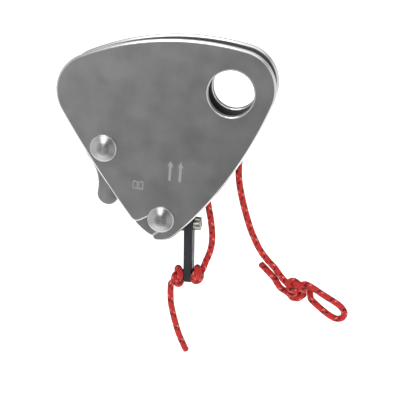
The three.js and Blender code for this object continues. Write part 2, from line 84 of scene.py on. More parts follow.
class Slot(str, Enum):
    """The record's material slots."""

    PLATE = "plate_steel"
    TURNED = "turned_steel"
    SCREW = "screw_steel"
    CAST = "cast_steel"
    SPRING = "spring_steel"
    BRONZE = "bronze"
    NYLON = "black_nylon"
    CORD = "cord_red"


# ---- shader and mesh helpers ---------------------------------------------------------------------------


class NodeWriter:
    """Short calls for adding nodes to a tree."""

    def __init__(self, tree: bpy.types.NodeTree) -> None:
        """Writes into that tree."""
        self.tree = tree

    def feed(self, socket: bpy.types.NodeSocket, value: Any) -> None:
        """Links another node's output to an input, or sets the input's value."""
        if isinstance(value, bpy.types.NodeSocket):
            self.tree.links.new(value, socket)
        else:
            socket.default_value = value

    def add(self, kind: str, values: dict[Any, Any] | None = None, **properties: Any) -> bpy.types.Node:
        """Adds a node.

        Args:
            kind: The node's type name.
            values: What goes into its inputs, a value or another node's output, by name or index.
            **properties: The node's own settings.

        Returns:
            The node.
        """
        node = self.tree.nodes.new(kind)
        for key, value in properties.items():
            setattr(node, key, value)
        for key, value in (values or {}).items():
            self.feed(node.inputs[key], value)
        return node

    def math(self, operation: str, a: Any, b: Any = 0.0, c: Any = 0.0) -> bpy.types.NodeSocket:
        """One arithmetic step."""
        return self.add("ShaderNodeMath", {0: a, 1: b, 2: c}, operation=operation).outputs[0]

    def vector(self, operation: str, a: Any, b: Any = (0, 0, 0)) -> bpy.types.NodeSocket:
        """One vector step: DOT_PRODUCT gives a number and the rest a vector."""
        node = self.add("ShaderNodeVectorMath", {0: a, 1: b}, operation=operation)
        return node.outputs["Value" if operation == "DOT_PRODUCT" else "Vector"]


class Graph(NodeWriter):
    """A material with a Principled shader, and short calls for the nodes that feed it."""

    def __init__(self, name: str) -> None:
        """Starts an empty material of that name."""
        self.material = bpy.data.materials.new(name)
        self.material.use_nodes = True
        super().__init__(self.material.node_tree)
        self.tree.nodes.clear()
        self.shader = self.add("ShaderNodeBsdfPrincipled")
        self.add("ShaderNodeOutputMaterial", {"Surface": self.shader.outputs[0]})

    def set(self, **values: Any) -> None:
        """Sets the shader's sockets, with underscores for the spaces in their names."""
        for key, value in values.items():
            self.feed(self.shader.inputs[key.replace("_", " ")], value)

    def place(self, scale: Point3 = (1, 1, 1), turn: Point3 = (0, 0, 0)) -> bpy.types.NodeSocket:
        """Object coordinates, scaled and turned."""
        where = self.add("ShaderNodeTexCoord").outputs["Object"]
        mapping = self.add("ShaderNodeMapping", {"Vector": where, "Scale": scale, "Rotation": turn})
        return mapping.outputs["Vector"]

    def noise(
        self, vector: bpy.types.NodeSocket, scale: float, detail: float = 2, rough: float = 0.5
    ) -> bpy.types.NodeSocket:
        """A noise value from 0 to 1 at that many cells a metre."""
        inputs = {"Vector": vector, "Scale": scale, "Detail": detail, "Roughness": rough}
        return self.add("ShaderNodeTexNoise", inputs).outputs["Fac"]

    def remap(
        self, value: bpy.types.NodeSocket, low: float, high: float, to_low: float = 0, to_high: float = 1
    ) -> bpy.types.NodeSocket:
        """A value moved from one range to another and held inside it."""
        inputs = {"Value": value, "From Min": low, "From Max": high, "To Min": to_low, "To Max": to_high}
        return self.add("ShaderNodeMapRange", inputs, clamp=True).outputs["Result"]

    def blend(self, share: Any, a: Any, b: Any) -> bpy.types.NodeSocket:
        """Two colours mixed by a share."""
        first, second = ((*c, 1.0) if isinstance(c, tuple) else c for c in (a, b))
        return self.add("ShaderNodeMix", {0: share, 6: first, 7: second}, data_type="RGBA").outputs[2]

    def bump(self, height: Any, depth_mm: float, strength: float, under: Any = None) -> bpy.types.NodeSocket:
        """A bump of that depth, on top of another one if it is given."""
        values = {"Height": height, "Distance": depth_mm * MM, "Strength": strength}
        if under is not None:
            values["Normal"] = under
        return self.add("ShaderNodeBump", values).outputs["Normal"]

    def attribute(self, name: str) -> bpy.types.Node:
        """One of the mesh's own attributes."""
        return self.add("ShaderNodeAttribute", attribute_name=name, attribute_type="GEOMETRY")


def scaled(colour: Colour, share: float) -> Colour:
    """A colour made lighter or darker, up to white."""
    return tuple(min(1.0, c * share) for c in colour)


def mesh_from(shape: bmesh.types.BMesh, name: str) -> bpy.types.Mesh:
    """Turns the faces of a built shape outwards, makes it a mesh and frees it."""
    bmesh.ops.recalc_face_normals(shape, faces=shape.faces)
    mesh = bpy.data.meshes.new(name)
    shape.to_mesh(mesh)
    shape.free()
    return mesh


def object_from(
    name: str, mesh: bpy.types.Mesh, material: bpy.types.Material | None = None
) -> bpy.types.Object:
    """Puts a mesh in the scene as an object at the origin.

    Args:
        name: The object's name.
        mesh: Its mesh, already in place.
        material: What it is made of.

    Returns:
        The object.
    """
    made = bpy.data.objects.new(name, mesh)
    bpy.context.scene.collection.objects.link(made)
    if material is not None:
        mesh.materials.clear()
        mesh.materials.append(material)
    return made


def shade(mesh: bpy.types.Mesh, sharp_degrees: float) -> None:
    """Shades a mesh smooth, apart from edges sharper than that angle."""
    if "custom_normal" in mesh.attributes:
        mesh.attributes.remove(mesh.attributes["custom_normal"])
    mesh.shade_smooth()
    mesh.set_sharp_from_angle(angle=math.radians(sharp_degrees))


def baked(host: bpy.types.Object, name: str) -> bpy.types.Object:
    """Turns an object and its modifiers into a plain mesh object, and removes the first.

    Args:
        host: The object with its modifiers.
        name: The plain object's name.

    Returns:
        The plain object.
    """
    bpy.context.view_layer.update()
    evaluated = host.evaluated_get(bpy.context.evaluated_depsgraph_get())
    mesh = bpy.data.meshes.new_from_object(evaluated)
    mesh.name = name
    old = host.data
    bpy.data.objects.remove(host)
    bpy.data.meshes.remove(old)
    return object_from(name, mesh)


def settle(piece: bpy.types.Object, body: Body, slot: Slot, *nodes: str) -> None:
    """Makes a piece ride on its body and stand for its CAD nodes.

    Args:
        piece: The finished piece.
        body: The body that it rides on.
        slot: Its material slot; not used.
        *nodes: The CAD nodes that it stands for, if any.
    """
    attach(piece, body.value)
    if nodes:
        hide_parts(*nodes)
    LOG.info("%s: %d faces on %s", piece.name, len(piece.data.polygons), body.value)


def add_tree_modifier(host: bpy.types.Object, tree: bpy.types.NodeTree, values: dict[str, Any]) -> None:
    """Adds a Geometry Nodes modifier and sets its named inputs by their identifiers.

    Args:
        host: The object that gets the modifier.
        tree: The node tree.
        values: The tree's inputs by name.
    """
    modifier = host.modifiers.new(tree.name, "NODES")
    modifier.node_group = tree
    for item in tree.interface.items_tree:
        if item.item_type == "SOCKET" and item.in_out == "INPUT" and item.name in values:
            modifier[item.identifier] = values[item.name]


class TreeBuilder(NodeWriter):
    """A Geometry Nodes tree, and short calls for what it needs."""

    def __init__(self, name: str, inputs: dict[str, tuple[str, Any]]) -> None:
        """Starts a tree with a geometry in and out.

        Args:
            name: The tree's name.
            inputs: Each named input's socket type and default.
        """
        super().__init__(bpy.data.node_groups.new(name, "GeometryNodeTree"))
        face = self.tree.interface
        face.new_socket("Geometry", in_out="INPUT", socket_type="NodeSocketGeometry")
        for label, (kind, default) in inputs.items():
            socket = face.new_socket(label, in_out="INPUT", socket_type=kind)
            if default is not None:
                socket.default_value = default
        face.new_socket("Geometry", in_out="OUTPUT", socket_type="NodeSocketGeometry")
        self.input = self.add("NodeGroupInput")
        self.output = self.add("NodeGroupOutput")

    def given(self, label: str) -> bpy.types.NodeSocket:
        """One of the tree's own inputs."""
        return self.input.outputs[label]

    def times(self, a: Any, share: Any) -> bpy.types.NodeSocket:
        """A vector times a number."""
        return self.add("ShaderNodeVectorMath", {0: a, "Scale": share}, operation="SCALE").outputs["Vector"]

    def read(self, name: str, kind: str) -> bpy.types.NodeSocket:
        """A named attribute of the geometry."""
        node = self.add("GeometryNodeInputNamedAttribute", {"Name": name}, data_type=kind)
        return node.outputs["Attribute"]

    def store(self, geometry: Any, name: str, kind: str, value: Any) -> bpy.types.NodeSocket:
        """Writes a named attribute on the points."""
        inputs = {"Geometry": geometry, "Name": name}
        node = self.add("GeometryNodeStoreNamedAttribute", inputs, data_type=kind)
        self.tree.links.new(value, node.inputs["Value"])
        return node.outputs["Geometry"]

    def finish(self, geometry: bpy.types.NodeSocket, material: Any) -> bpy.types.NodeTree:
        """Ends the tree in Realize Instances and Set Material."""
        real = self.add("GeometryNodeRealizeInstances", {"Geometry": geometry}).outputs["Geometry"]
        dressed = self.add("GeometryNodeSetMaterial", {"Geometry": real, "Material": material})
        self.tree.links.new(dressed.outputs["Geometry"], self.output.inputs["Geometry"])
        return self.tree


# ---- finishes ------------------------------------------------------------------------------------------


@dataclass(frozen=True)
class Steel:
    """A bare steel surface.

    Attributes:
        name: The material's name.
        colour: Its reflection colour.
        roughness: Its mean roughness.
        spread: How far the roughness wanders on either side.
        grain_mm: The size of its finest grain.
        grain_depth: The grain's depth in millimetres.
        cloud_mm: The size of its soft patches.
        cloud: How much lighter or darker a patch is.
        scratch: How deep its hairlines are, in millimetres, or 0.
        edge_polish: How much smoother and lighter the worn edges are, from 0 to 1; when it is not 0, the bores
            and the faces inside the gap also get painted shade.
        lay: How much its turning marks stretch a highlight, from 0 to 1.
    """

    name: str
    colour: Colour
    roughness: float
    spread: float = 0.04
    grain_mm: float = 0.25
    grain_depth: float = 0.004
    cloud_mm: float = 14.0
    cloud: float = 0.05
    scratch: float = 0.0
    edge_polish: float = 0.0
    lay: float = 0.0

    def material(self) -> bpy.types.Material:
        """Builds the material."""
        g = Graph(self.name)
        here = g.place()
        cloud = g.noise(here, 1 / (self.cloud_mm * MM), 3, 0.55)
        grain = g.noise(here, 1 / (self.grain_mm * MM), 3, 0.65)
        fleck = g.noise(here, 0.28 / (self.grain_mm * MM), 2, 0.6)
        dark, light = scaled(self.colour, 1 - self.cloud), scaled(self.colour, 1 + self.cloud)
        colour = g.blend(g.remap(cloud, 0.35, 0.65), dark, light)
        colour = g.blend(g.remap(fleck, 0.35, 0.7, 0, 0.22), colour, scaled(self.colour, 0.8))
        rough = g.remap(grain, 0.3, 0.7, self.roughness - self.spread, self.roughness + self.spread)
        wander = 0.6 * self.spread
        rough = g.math("ADD", rough, g.remap(cloud, 0.35, 0.65, -wander, wander))
        if self.edge_polish:
            colour, rough = self.painted_shade_and_polish(g, here, colour, rough)
        normal = g.bump(grain, self.grain_depth, 0.6)
        if self.scratch:
            normal, rough = self.scratched(g, normal, rough)
        if self.lay:
            normal, rough = self.turned(g, normal, rough)
        g.set(Base_Color=colour, Roughness=rough, Normal=normal, Metallic=1.0)
        return g.material

    def painted_shade_and_polish(self, g: Graph, here: Socket, colour: Socket, rough: Socket) -> tuple[Socket, Socket]:
        """Darkens the bores and the faces inside the gap as painted shade, makes the bores rougher, and
        polishes the worn edges.

        Args:
            g: The material.
            here: Object coordinates.
            colour: The colour so far.
            rough: The roughness so far.

        Returns:
            The new colour and roughness.
        """
        edge = g.attribute("edge").outputs["Fac"]
        # Painted shade: bore walls, marked -1, are darkened to about a third of the steel's colour, for the
        # shade inside the holes.
        bore = g.remap(edge, -1, 0, 1, 0)
        colour = g.blend(bore, colour, scaled(self.colour, 0.34))
        rough = g.math("ADD", rough, g.math("MULTIPLY", bore, 0.16))
        # Painted shade: faces near the middle plane, the plates' inner faces, are darkened halfway to a fifth
        # of the steel's colour, for the shade between the plates.
        depth = g.math("ABSOLUTE", g.add("ShaderNodeSeparateXYZ", {"Vector": here}).outputs["Y"])
        inside = g.math("LESS_THAN", depth, INNER_FACE_SHADE_DEPTH * MM)
        colour = g.blend(g.math("MULTIPLY", inside, 0.5), colour, scaled(self.colour, 0.2))
        worn = g.math("MULTIPLY", g.remap(edge, 0, 1), self.edge_polish)
        rough = g.math("MULTIPLY", rough, g.math("SUBTRACT", 1.0, g.math("MULTIPLY", worn, 0.45)))
        return g.blend(worn, colour, scaled(self.colour, 1.35)), rough

    def scratched(self, g: Graph, normal: Socket, rough: Socket) -> tuple[Socket, Socket]:
        """Adds fine hairlines in three directions.

        Args:
            g: The material.
            normal: The normal so far.
            rough: The roughness so far.

        Returns:
            The new normal and roughness.
        """
        hair: Any = 0.0
        for turn, stretch in ((0.35, 30), (1.25, 22), (2.2, 36)):
            line = g.noise(g.place((1, 1, 1 / stretch), (0, turn, 0)), 3400, 1, 0.4)
            hair = g.math("MAXIMUM", hair, g.remap(line, 0.68, 0.76))
        rough = g.math("SUBTRACT", rough, g.math("MULTIPLY", hair, 0.02))
        return g.bump(hair, self.scratch, 0.25, normal), rough

    def turned(self, g: Graph, normal: Socket, rough: Socket) -> tuple[Socket, Socket]:
        """Adds turning marks that run round the axis and spread a highlight across them.

        Args:
            g: The material.
            normal: The normal so far.
            rough: The roughness so far.

        Returns:
            The new normal and roughness.
        """
        around = g.add("ShaderNodeUVMap", uv_map="lay").outputs["UV"]
        stretched = g.add("ShaderNodeMapping", {"Vector": around, "Scale": (0.8, 150, 1)}).outputs[0]
        marks = g.noise(stretched, 1, 2)
        tangent = g.add("ShaderNodeTangent", direction_type="UV_MAP", uv_map="lay")
        g.set(Anisotropic=self.lay, Anisotropic_Rotation=0.25, Tangent=tangent.outputs["Tangent"])
        return g.bump(marks, 0.0012, 0.5, normal), g.math("ADD", rough, g.remap(marks, 0.3, 0.7, -0.05, 0.05))


@dataclass(frozen=True)
class Nylon:
    """Moulded glass-filled nylon with a spark-eroded skin.

    Attributes:
        name: The material's name.
        colour: Its colour.
    """

    name: str
    colour: Colour

    def material(self) -> bpy.types.Material:
        """Builds the material."""
        g = Graph(self.name)
        here = g.place()
        skin = g.noise(here, 2600, 4, 0.7)
        fibre = g.noise(g.place((1, 1, 0.12)), 3800, 2, 0.6)
        patch = g.noise(here, 160, 3, 0.6)
        rubbed = g.remap(g.math("MULTIPLY", patch, g.remap(fibre, 0.45, 0.7, 0.4, 1)), 0.3, 0.62)
        pale = tuple(c * 2.3 + 0.012 for c in self.colour)
        colour = g.blend(g.math("MULTIPLY", rubbed, 0.4), self.colour, pale)
        rough = g.remap(patch, 0.35, 0.65, 0.42, 0.56)
        normal = g.bump(skin, 0.05, 0.45)
        g.set(Base_Color=colour, Roughness=rough, Normal=normal, Specular_IOR_Level=0.45)
        return g.material


@dataclass(frozen=True)
class BraidedSheath:
    """Dyed polyester yarn with dark and pale tracers.

    Attributes:
        name: The material's name.
        red: The yarn's main colour.
        deep: The core's colour, a dark painted shade that shows between the yarns.
        tracer: The dark tracer's colour.
        pale: The pale tracer's colour.
    """

    name: str
    red: Colour
    deep: Colour
    tracer: Colour
    pale: Colour

    def material(self) -> bpy.types.Material:
        """Builds the material. The mesh's attribute yarn is 0 on red, 1 on dark, 2 on pale and 3 on the core
        inside, which gets the dark painted shade.
        """
        g = Graph(self.name)
        yarn = g.attribute("yarn").outputs["Fac"]
        lay = g.attribute("lay").outputs["Vector"]
        stretched = g.add("ShaderNodeMapping", {"Vector": lay, "Scale": (22, 420, 3.7)}).outputs["Vector"]
        fibre = g.noise(stretched, 1.0, 3, 0.6)
        patch = g.noise(g.place(), 300, 2, 0.6)
        bright = tuple(min(1.0, c * 1.25 + 0.02) for c in self.red)
        dye = g.blend(g.remap(fibre, 0.3, 0.7, 0, 0.55), self.red, bright)
        dye = g.blend(g.remap(patch, 0.35, 0.7, 0, 0.35), dye, scaled(self.red, 0.72))
        pale = g.blend(g.remap(fibre, 0.35, 0.65, 0, 0.6), self.pale, self.red)
        # Yarn 3, the core, takes the deep colour: painted shade between the yarns.
        for border, tone in ((0.5, self.tracer), (1.5, pale), (2.5, self.deep)):
            dye = g.blend(g.remap(yarn, border - 0.05, border + 0.05), dye, tone)
        normal = g.bump(fibre, 0.09, 0.7)
        rough = g.remap(fibre, 0.3, 0.7, 0.5, 0.72)
        g.set(Base_Color=dye, Roughness=rough, Normal=normal)
        g.set(Specular_IOR_Level=0.35, Sheen_Weight=0.15, Sheen_Roughness=0.45)
        g.set(Sheen_Tint=(1.0, 0.62, 0.58, 1.0))
        return g.material


@dataclass(frozen=True)
class Etching:
    """A laser-etched mark, paler and rougher than the plate round it."""

    name: str
    colour: Colour

    def material(self) -> bpy.types.Material:
        """Builds the material."""
        g = Graph(self.name)
        frost = g.noise(g.place(), 9000, 2, 0.6)
        rough = g.remap(frost, 0.3, 0.7, 0.5, 0.66)
        normal = g.bump(frost, 0.01, 0.5)
        g.set(Base_Color=(*self.colour, 1.0), Metallic=1.0, Roughness=rough, Normal=normal)
        return g.material


@dataclass
class Finishes:
    """Every material of the rope clamp, built once."""

    plate: bpy.types.Material = field(init=False)
    turned: bpy.types.Material = field(init=False)
    plain_turned: bpy.types.Material = field(init=False)
    screw: bpy.types.Material = field(init=False)
    cast: bpy.types.Material = field(init=False)
    wire: bpy.types.Material = field(init=False)
    bronze: bpy.types.Material = field(init=False)
    nylon: bpy.types.Material = field(init=False)
    cord: bpy.types.Material = field(init=False)
    melted: bpy.types.Material = field(init=False)
    etched: bpy.types.Material = field(init=False)

    def __post_init__(self) -> None:
        """Builds the materials."""
        # The plate's edge_polish also switches on painted shade in its bores and on its inner faces.
        self.plate = Steel(
            "tumbled_plate_steel", (0.52, 0.52, 0.525), roughness=0.34, spread=0.035, grain_mm=0.34,
            grain_depth=0.009, cloud_mm=12, cloud=0.06, scratch=0.0015, edge_polish=1.0,
        ).material()
        self.turned = Steel(
            "turned_rivet_steel", (0.64, 0.64, 0.635), roughness=0.26, spread=0.02, grain_mm=0.12,
            grain_depth=0.0006, cloud_mm=5, cloud=0.03, lay=0.84,
        ).material()
        self.plain_turned = Steel(
            "ground_pin_steel", (0.62, 0.62, 0.615), roughness=0.3, spread=0.03, grain_mm=0.15,
            grain_depth=0.002,
        ).material()
        self.screw = Steel(
            "satin_screw_steel", (0.5, 0.49, 0.455), roughness=0.32, spread=0.04, grain_mm=0.2,
            grain_depth=0.004, cloud_mm=4, cloud=0.08,
        ).material()
        self.cast = Steel(
            "tumbled_cast_steel", (0.43, 0.43, 0.435), roughness=0.42, spread=0.05, grain_mm=0.45,
            grain_depth=0.018, cloud_mm=7, cloud=0.09,
        ).material()
        self.wire = Steel("spring_wire_steel", (0.5, 0.5, 0.52), roughness=0.25, spread=0.03).material()
        self.bronze = Steel(
            "bearing_bronze", (0.62, 0.42, 0.2), roughness=0.33, spread=0.05, grain_mm=0.3,
            grain_depth=0.005, cloud_mm=5, cloud=0.12,
        ).material()
        self.nylon = Nylon("black_glass_filled_nylon", (0.022, 0.024, 0.029)).material()
        # deep is the core's colour, a painted shade between the yarns.
        self.cord = BraidedSheath(
            "red_braided_sheath", red=(0.53, 0.016, 0.013), deep=(0.07, 0.003, 0.004),
            tracer=(0.06, 0.008, 0.008), pale=(0.78, 0.3, 0.26),
        ).material()
        self.melted = self.melted_end()
        self.etched = Etching("etched_mark", (0.62, 0.62, 0.62)).material()

    @staticmethod
    def melted_end() -> bpy.types.Material:
        """The heat-sealed end of the cord: glossy, dark and uneven."""
        g = Graph("heat_sealed_end")
        lump = g.noise(g.place(), 1500, 3, 0.6)
        colour = g.blend(g.remap(lump, 0.35, 0.65), (0.16, 0.006, 0.006), (0.42, 0.02, 0.018))
        g.set(Base_Color=colour, Roughness=0.34, Normal=g.bump(lump, 0.2, 0.8))
        return g.material


# ---- outlines in the plates' plane ---------------------------------------------------------------------


@dataclass(frozen=True)
class Circle:
    """A circle in the plates' plane, X to the right and Z up."""

    x: float
    z: float
    r: float

    def toward(self, other: "Circle") -> float:
        """The heading from this centre to another."""
        return math.atan2(other.z - self.z, other.x - self.x)

    def between(self, mine: float, other: "Circle", theirs: float, side: int, r: float) -> "Circle":
        """The circle whose centre is at distance mine from this one and theirs from another.

        Args:
            mine: Distance from this centre.
            other: The other circle.
            theirs: Distance from the other centre.
            side: 1 for the left of the line between them and -1 for the right.
            r: The new circle's radius.

        Returns:
            The circle.
        """
        gap = math.hypot(other.x - self.x, other.z - self.z)
        ux, uz = (other.x - self.x) / gap, (other.z - self.z) / gap
        along = (mine * mine - theirs * theirs + gap * gap) / (2 * gap)
        off = side * math.sqrt(mine * mine - along * along)
        return Circle(self.x + ux * along - uz * off, self.z + uz * along + ux * off, r)


@dataclass(frozen=True)
class Arc:
    """One arc of a rim. A hollow arc has the steel outside its circle."""

    circle: Circle
    start: float
    end: float
    hollow: bool = False

    def points(self, inset: float, spacing: float = 0.8) -> list[Point2]:
        """Points along the arc, moved into the steel by inset, without the last one."""
        turn = -((self.start - self.end) % FULL_TURN)
        if self.hollow:
            turn = (self.end - self.start) % FULL_TURN
        count = max(3, math.ceil(abs(turn) * self.circle.r / spacing))
        r = self.circle.r + (inset if self.hollow else -inset)
        angles = (self.start + turn * i / count for i in range(count))
        return [(self.circle.x + r * math.cos(a), self.circle.z + r * math.sin(a)) for a in angles]


@dataclass(frozen=True)
class Bore:
    """A round hole through a plate, with a small chamfer at both ends."""

    x: float
    z: float
    r: float
    chamfer: float = 0.25

    def points(self, inset: float) -> list[Point2]:
        """Points round the hole, moved into the steel by inset."""
        count = max(36, math.ceil(FULL_TURN * self.r / 0.8))
        angles = (FULL_TURN * i / count for i in range(count))
        r = self.r + inset
        return [(self.x + r * math.cos(a), self.z + r * math.sin(a)) for a in angles]


@dataclass
class SidePlates:
    """The two side plates and the marks on the front one.

    Attributes:
        finishes: The materials.
        inner: How far each plate's inner face is from the middle plane.
        outer: How far its outer face is.
        chamfer: How wide the rims' chamfer is.
        softening: How round the chamfer's own edges are.
        left: The left corner's circle.
        eye: The circle round the connector's eye.
        foot: The bottom corner's circle.
        side_radii: The radii of the top, right and left sides.
        upper: The upper rivet's bore in the front plate.
        lower: The lower rivet's neck.
        eye_bore: The eye's radius.
        notch_half_width: Half the width of the front plate's notch.
        hook_fillet: The radius where the notch meets the left side.
        lip_fillet: The radius where it meets the bottom corner.
        guide_bore: The hole for the cord guide's rivet.
        stop_bore: The hole for the cam's stop pin.
        dowel_bores: The holes for the anvil's dowels.
        arrow: An arrow's outline, from the middle of its foot.
        arrow_feet: X and Z of each arrow's foot.
        page: The outline of the book's right page.
        book: X and Z of the book's middle.
        page_middle: How far a page's middle is from the book's.
        page_window: The share of a page's width and height that is left open.
        mark_proud: How far a mark stands out of the plate.
        mark_sunk: How far it goes into the plate.
    """

    finishes: Finishes
    inner: float = 6.5
    outer: float = 10.5
    chamfer: float = 0.85
    softening: float = 0.16
    left: Circle = Circle(-65.6, -7.4, 19.2)
    eye: Circle = Circle(2.1, 2.2, 18.8)
    foot: Circle = Circle(-30.4, -67.3, 12.1)
    side_radii: tuple[float, float, float] = (130.0, 193.0, 509.0)
    upper: Circle = Circle(-59.9, -33.9, 4.2)
    lower: Circle = Circle(-29.0, -67.3, 3.6)
    eye_bore: float = 11.0
    notch_half_width: float = 4.4
    hook_fillet: float = 3.6
    lip_fillet: float = 2.2
    guide_bore: Bore = Bore(-1.1, -30.0, 2.6)
    stop_bore: Bore = Bore(-27.746, -55.366, 1.7, 0.12)
    dowel_bores: tuple[Bore, Bore] = (Bore(-59.9, -26.1, 1.7, 0.12), Bore(-57.2, -45.9, 1.7, 0.12))
    arrow: tuple[Point2, ...] = (
        (-0.65, 0), (0.65, 0), (0.65, 7.4), (1.6, 7.1), (0, 10.2), (-1.6, 7.1), (-0.65, 7.4),
    )
    arrow_feet: tuple[Point2, Point2] = ((-26.1, -46.3), (-21.0, -46.3))
    page: tuple[Point2, ...] = ((0.2, -2.3), (1.3, -1.85), (2.7, -2.2), (2.7, 2.0), (1.3, 2.35), (0.2, 1.9))
    book: Point2 = (-41.7, -50.8)
    page_middle: float = 1.45
    page_window: Point2 = (0.66, 0.72)
    mark_proud: float = 0.02
    mark_sunk: float = 0.03

    def __post_init__(self) -> None:
        """Finds the circles of the three long sides."""
        top, right, west = self.side_radii
        self.top = self.left.between(top - self.left.r, self.eye, top - self.eye.r, -1, top)
        self.right = self.eye.between(right - self.eye.r, self.foot, right - self.foot.r, -1, right)
        self.west = self.foot.between(west - self.foot.r, self.left, west - self.left.r, -1, west)

    def upper_rim(self) -> list[Arc]:
        """Clockwise from the left corner, over the eye, down to the foot."""
        return [
            Arc(self.left, self.west.toward(self.left), self.top.toward(self.left)),
            Arc(self.top, self.top.toward(self.left), self.top.toward(self.eye)),
            Arc(self.eye, self.top.toward(self.eye), self.right.toward(self.eye)),
            Arc(self.right, self.right.toward(self.eye), self.right.toward(self.foot)),
        ]

    def plain_rim(self) -> list[Arc]:
        """The back plate's whole rim."""
        return [
            *self.upper_rim(),
            Arc(self.foot, self.right.toward(self.foot), self.west.toward(self.foot)),
            Arc(self.west, self.west.toward(self.foot), self.west.toward(self.left)),
        ]

    def notched_rim(self) -> list[Arc]:
        """The front plate's rim, with the notch that swings off the lower rivet."""
        reach = math.hypot(self.lower.x - self.upper.x, self.lower.z - self.upper.z)
        near, far = reach - self.notch_half_width, reach + self.notch_half_width
        hub, foot, west = self.upper, self.foot, self.west
        lip = hub.between(far + self.lip_fillet, foot, foot.r - self.lip_fillet, -1, self.lip_fillet)
        hook = hub.between(near - self.hook_fillet, west, west.r - self.hook_fillet, -1, self.hook_fillet)
        seat = hub.toward(self.lower)
        far_wall, near_wall = Circle(hub.x, hub.z, far), Circle(hub.x, hub.z, near)
        bottom = Circle(self.lower.x, self.lower.z, self.notch_half_width)
        return [
            *self.upper_rim(),
            Arc(foot, self.right.toward(foot), foot.toward(lip)),
            Arc(lip, foot.toward(lip), lip.toward(hub)),
            Arc(far_wall, hub.toward(lip), seat, hollow=True),
            Arc(bottom, seat, seat + math.pi, hollow=True),
            Arc(near_wall, seat, hub.toward(hook)),
            Arc(hook, hub.toward(hook), west.toward(hook)),
            Arc(west, west.toward(hook), west.toward(self.left)),
        ]

    def edge_profile(self, chamfer: float) -> list[tuple[float, float, float]]:
        """The rim's section as inset, depth below the face and how worn it is, from face to face."""
        c, s = chamfer, min(self.softening, 0.45 * chamfer)
        half = [
            (c + 2.5 * s, 0.0, 0.0),
            (c + s, 0.0, 0.15),
            (c + 0.075 * s, 0.175 * s, 0.8),
            (c - 0.7 * s, 0.7 * s, 1.0),
            (0.7 * s, c - 0.7 * s, 1.0),
            (0.175 * s, c + 0.075 * s, 0.8),
            (0.0, c + s, 0.3),
        ]
        thickness = self.outer - self.inner
        return half + [(inset, thickness - depth, worn) for inset, depth, worn in reversed(half)]

    def plate(self, name: str, rim: list[Arc], bores: Iterable[Bore], front: float) -> bpy.types.Object:
        """Builds one plate.

        Args:
            name: The object's name.
            rim: Its rim.
            bores: Its holes.
            front: Where its front face is along Y.

        Returns:
            The plate.
        """
        shape = bmesh.new()
        edge = shape.verts.layers.float.new("edge")
        caps: tuple[list[bmesh.types.BMEdge], list[bmesh.types.BMEdge]] = ([], [])
        outer = lambda inset: [p for arc in rim for p in arc.points(inset)]
        loops = [(outer, self.chamfer)] + [(bore.points, bore.chamfer) for bore in bores]
        for points, chamfer in loops:
            profile = self.edge_profile(chamfer)
            rings = []
            for inset, depth, worn in profile:
                ring = [shape.verts.new((x * MM, (front + depth) * MM, z * MM)) for x, z in points(inset)]
                for vertex in ring:
                    # Bore walls get -1, which the plate steel turns into painted shade; the other rows carry
                    # how worn the rim is.
                    vertex[edge] = -1.0 if points is not outer and worn == 0.3 else worn
                rings.append(ring)
            for one, two in zip(rings, rings[1:]):
                for i in range(len(one)):
                    j = (i + 1) % len(one)
                    shape.faces.new((one[i], one[j], two[j], two[i])).smooth = True
            for cap, ring in zip(caps, (rings[0], rings[-1])):
                for i in range(len(ring)):
                    cap.append(shape.edges.get((ring[i], ring[(i + 1) % len(ring)])))
        for cap in caps:
            filled = bmesh.ops.triangle_fill(shape, use_beauty=True, edges=cap)
            for face in (g for g in filled["geom"] if isinstance(g, bmesh.types.BMFace)):
                face.smooth = False
        return object_from(name, mesh_from(shape, name), self.finishes.plate)

    def marks(self) -> bpy.types.Object:
        """Two etched arrows that point up the rope, and an open book."""
        shape = bmesh.new()
        for x, z in self.arrow_feet:
            self.mark(shape, [(x + px, z + pz) for px, pz in self.arrow])
        x, z = self.book
        for side in (-1, 1):
            page = [(x + side * px, z + pz) for px, pz in self.page]
            middle = x + self.page_middle * side
            wide, high = self.page_window
            self.mark(shape, page, [(middle + wide * (px - middle), z + high * (pz - z)) for px, pz in page])
        return object_from("etched_marks", mesh_from(shape, "etched_marks"), self.finishes.etched)

    def mark(
        self, shape: bmesh.types.BMesh, outline: list[Point2], window: list[Point2] | None = None
    ) -> None:
        """Adds one thin raised mark to a mesh.

        Args:
            shape: The mesh.
            outline: The mark's outline as X and Z.
            window: An opening in it with as many points, if it has one.
        """
        levels = (-(self.outer + self.mark_proud), -(self.outer - self.mark_sunk))
        loops = [outline] + ([window] if window else [])
        made = [
            [[shape.verts.new((x * MM, y * MM, z * MM)) for x, z in loop] for loop in loops] for y in levels
        ]
        count = len(outline)
        for i in range(count):
            j = (i + 1) % count
            for low, high in zip(*made):
                shape.faces.new((low[i], high[i], high[j], low[j]))
            if window:
                for one, two in made:
                    shape.faces.new((one[i], one[j], two[j], two[i]))
        if not window:
            for level in made:
                shape.faces.new(level[0])

    def build(self) -> None:
        """Builds both plates and the marks."""
        eye = Bore(0.0, 0.0, self.eye_bore, 0.5)
        pivot = Bore(self.upper.x, self.upper.z, 4.2)
        necks = [Bore(c.x, c.z, 3.6) for c in (self.upper, self.lower)]
        front = self.plate("front_plate_steel", self.notched_rim(), [eye, pivot], -self.outer)
        settle(front, Body.FRONT_PLATE, Slot.PLATE, "front_side_plate")
        back_bores = [eye, *necks, self.guide_bore, self.stop_bore, *self.dowel_bores]
        back = self.plate("back_plate_steel", self.plain_rim(), back_bores, self.inner)
        settle(back, Body.CHASSIS, Slot.PLATE, "back_side_plate")
        settle(self.marks(), Body.FRONT_PLATE, Slot.PLATE)


# ---- turned and cast parts -----------------------------------------------------------------------------


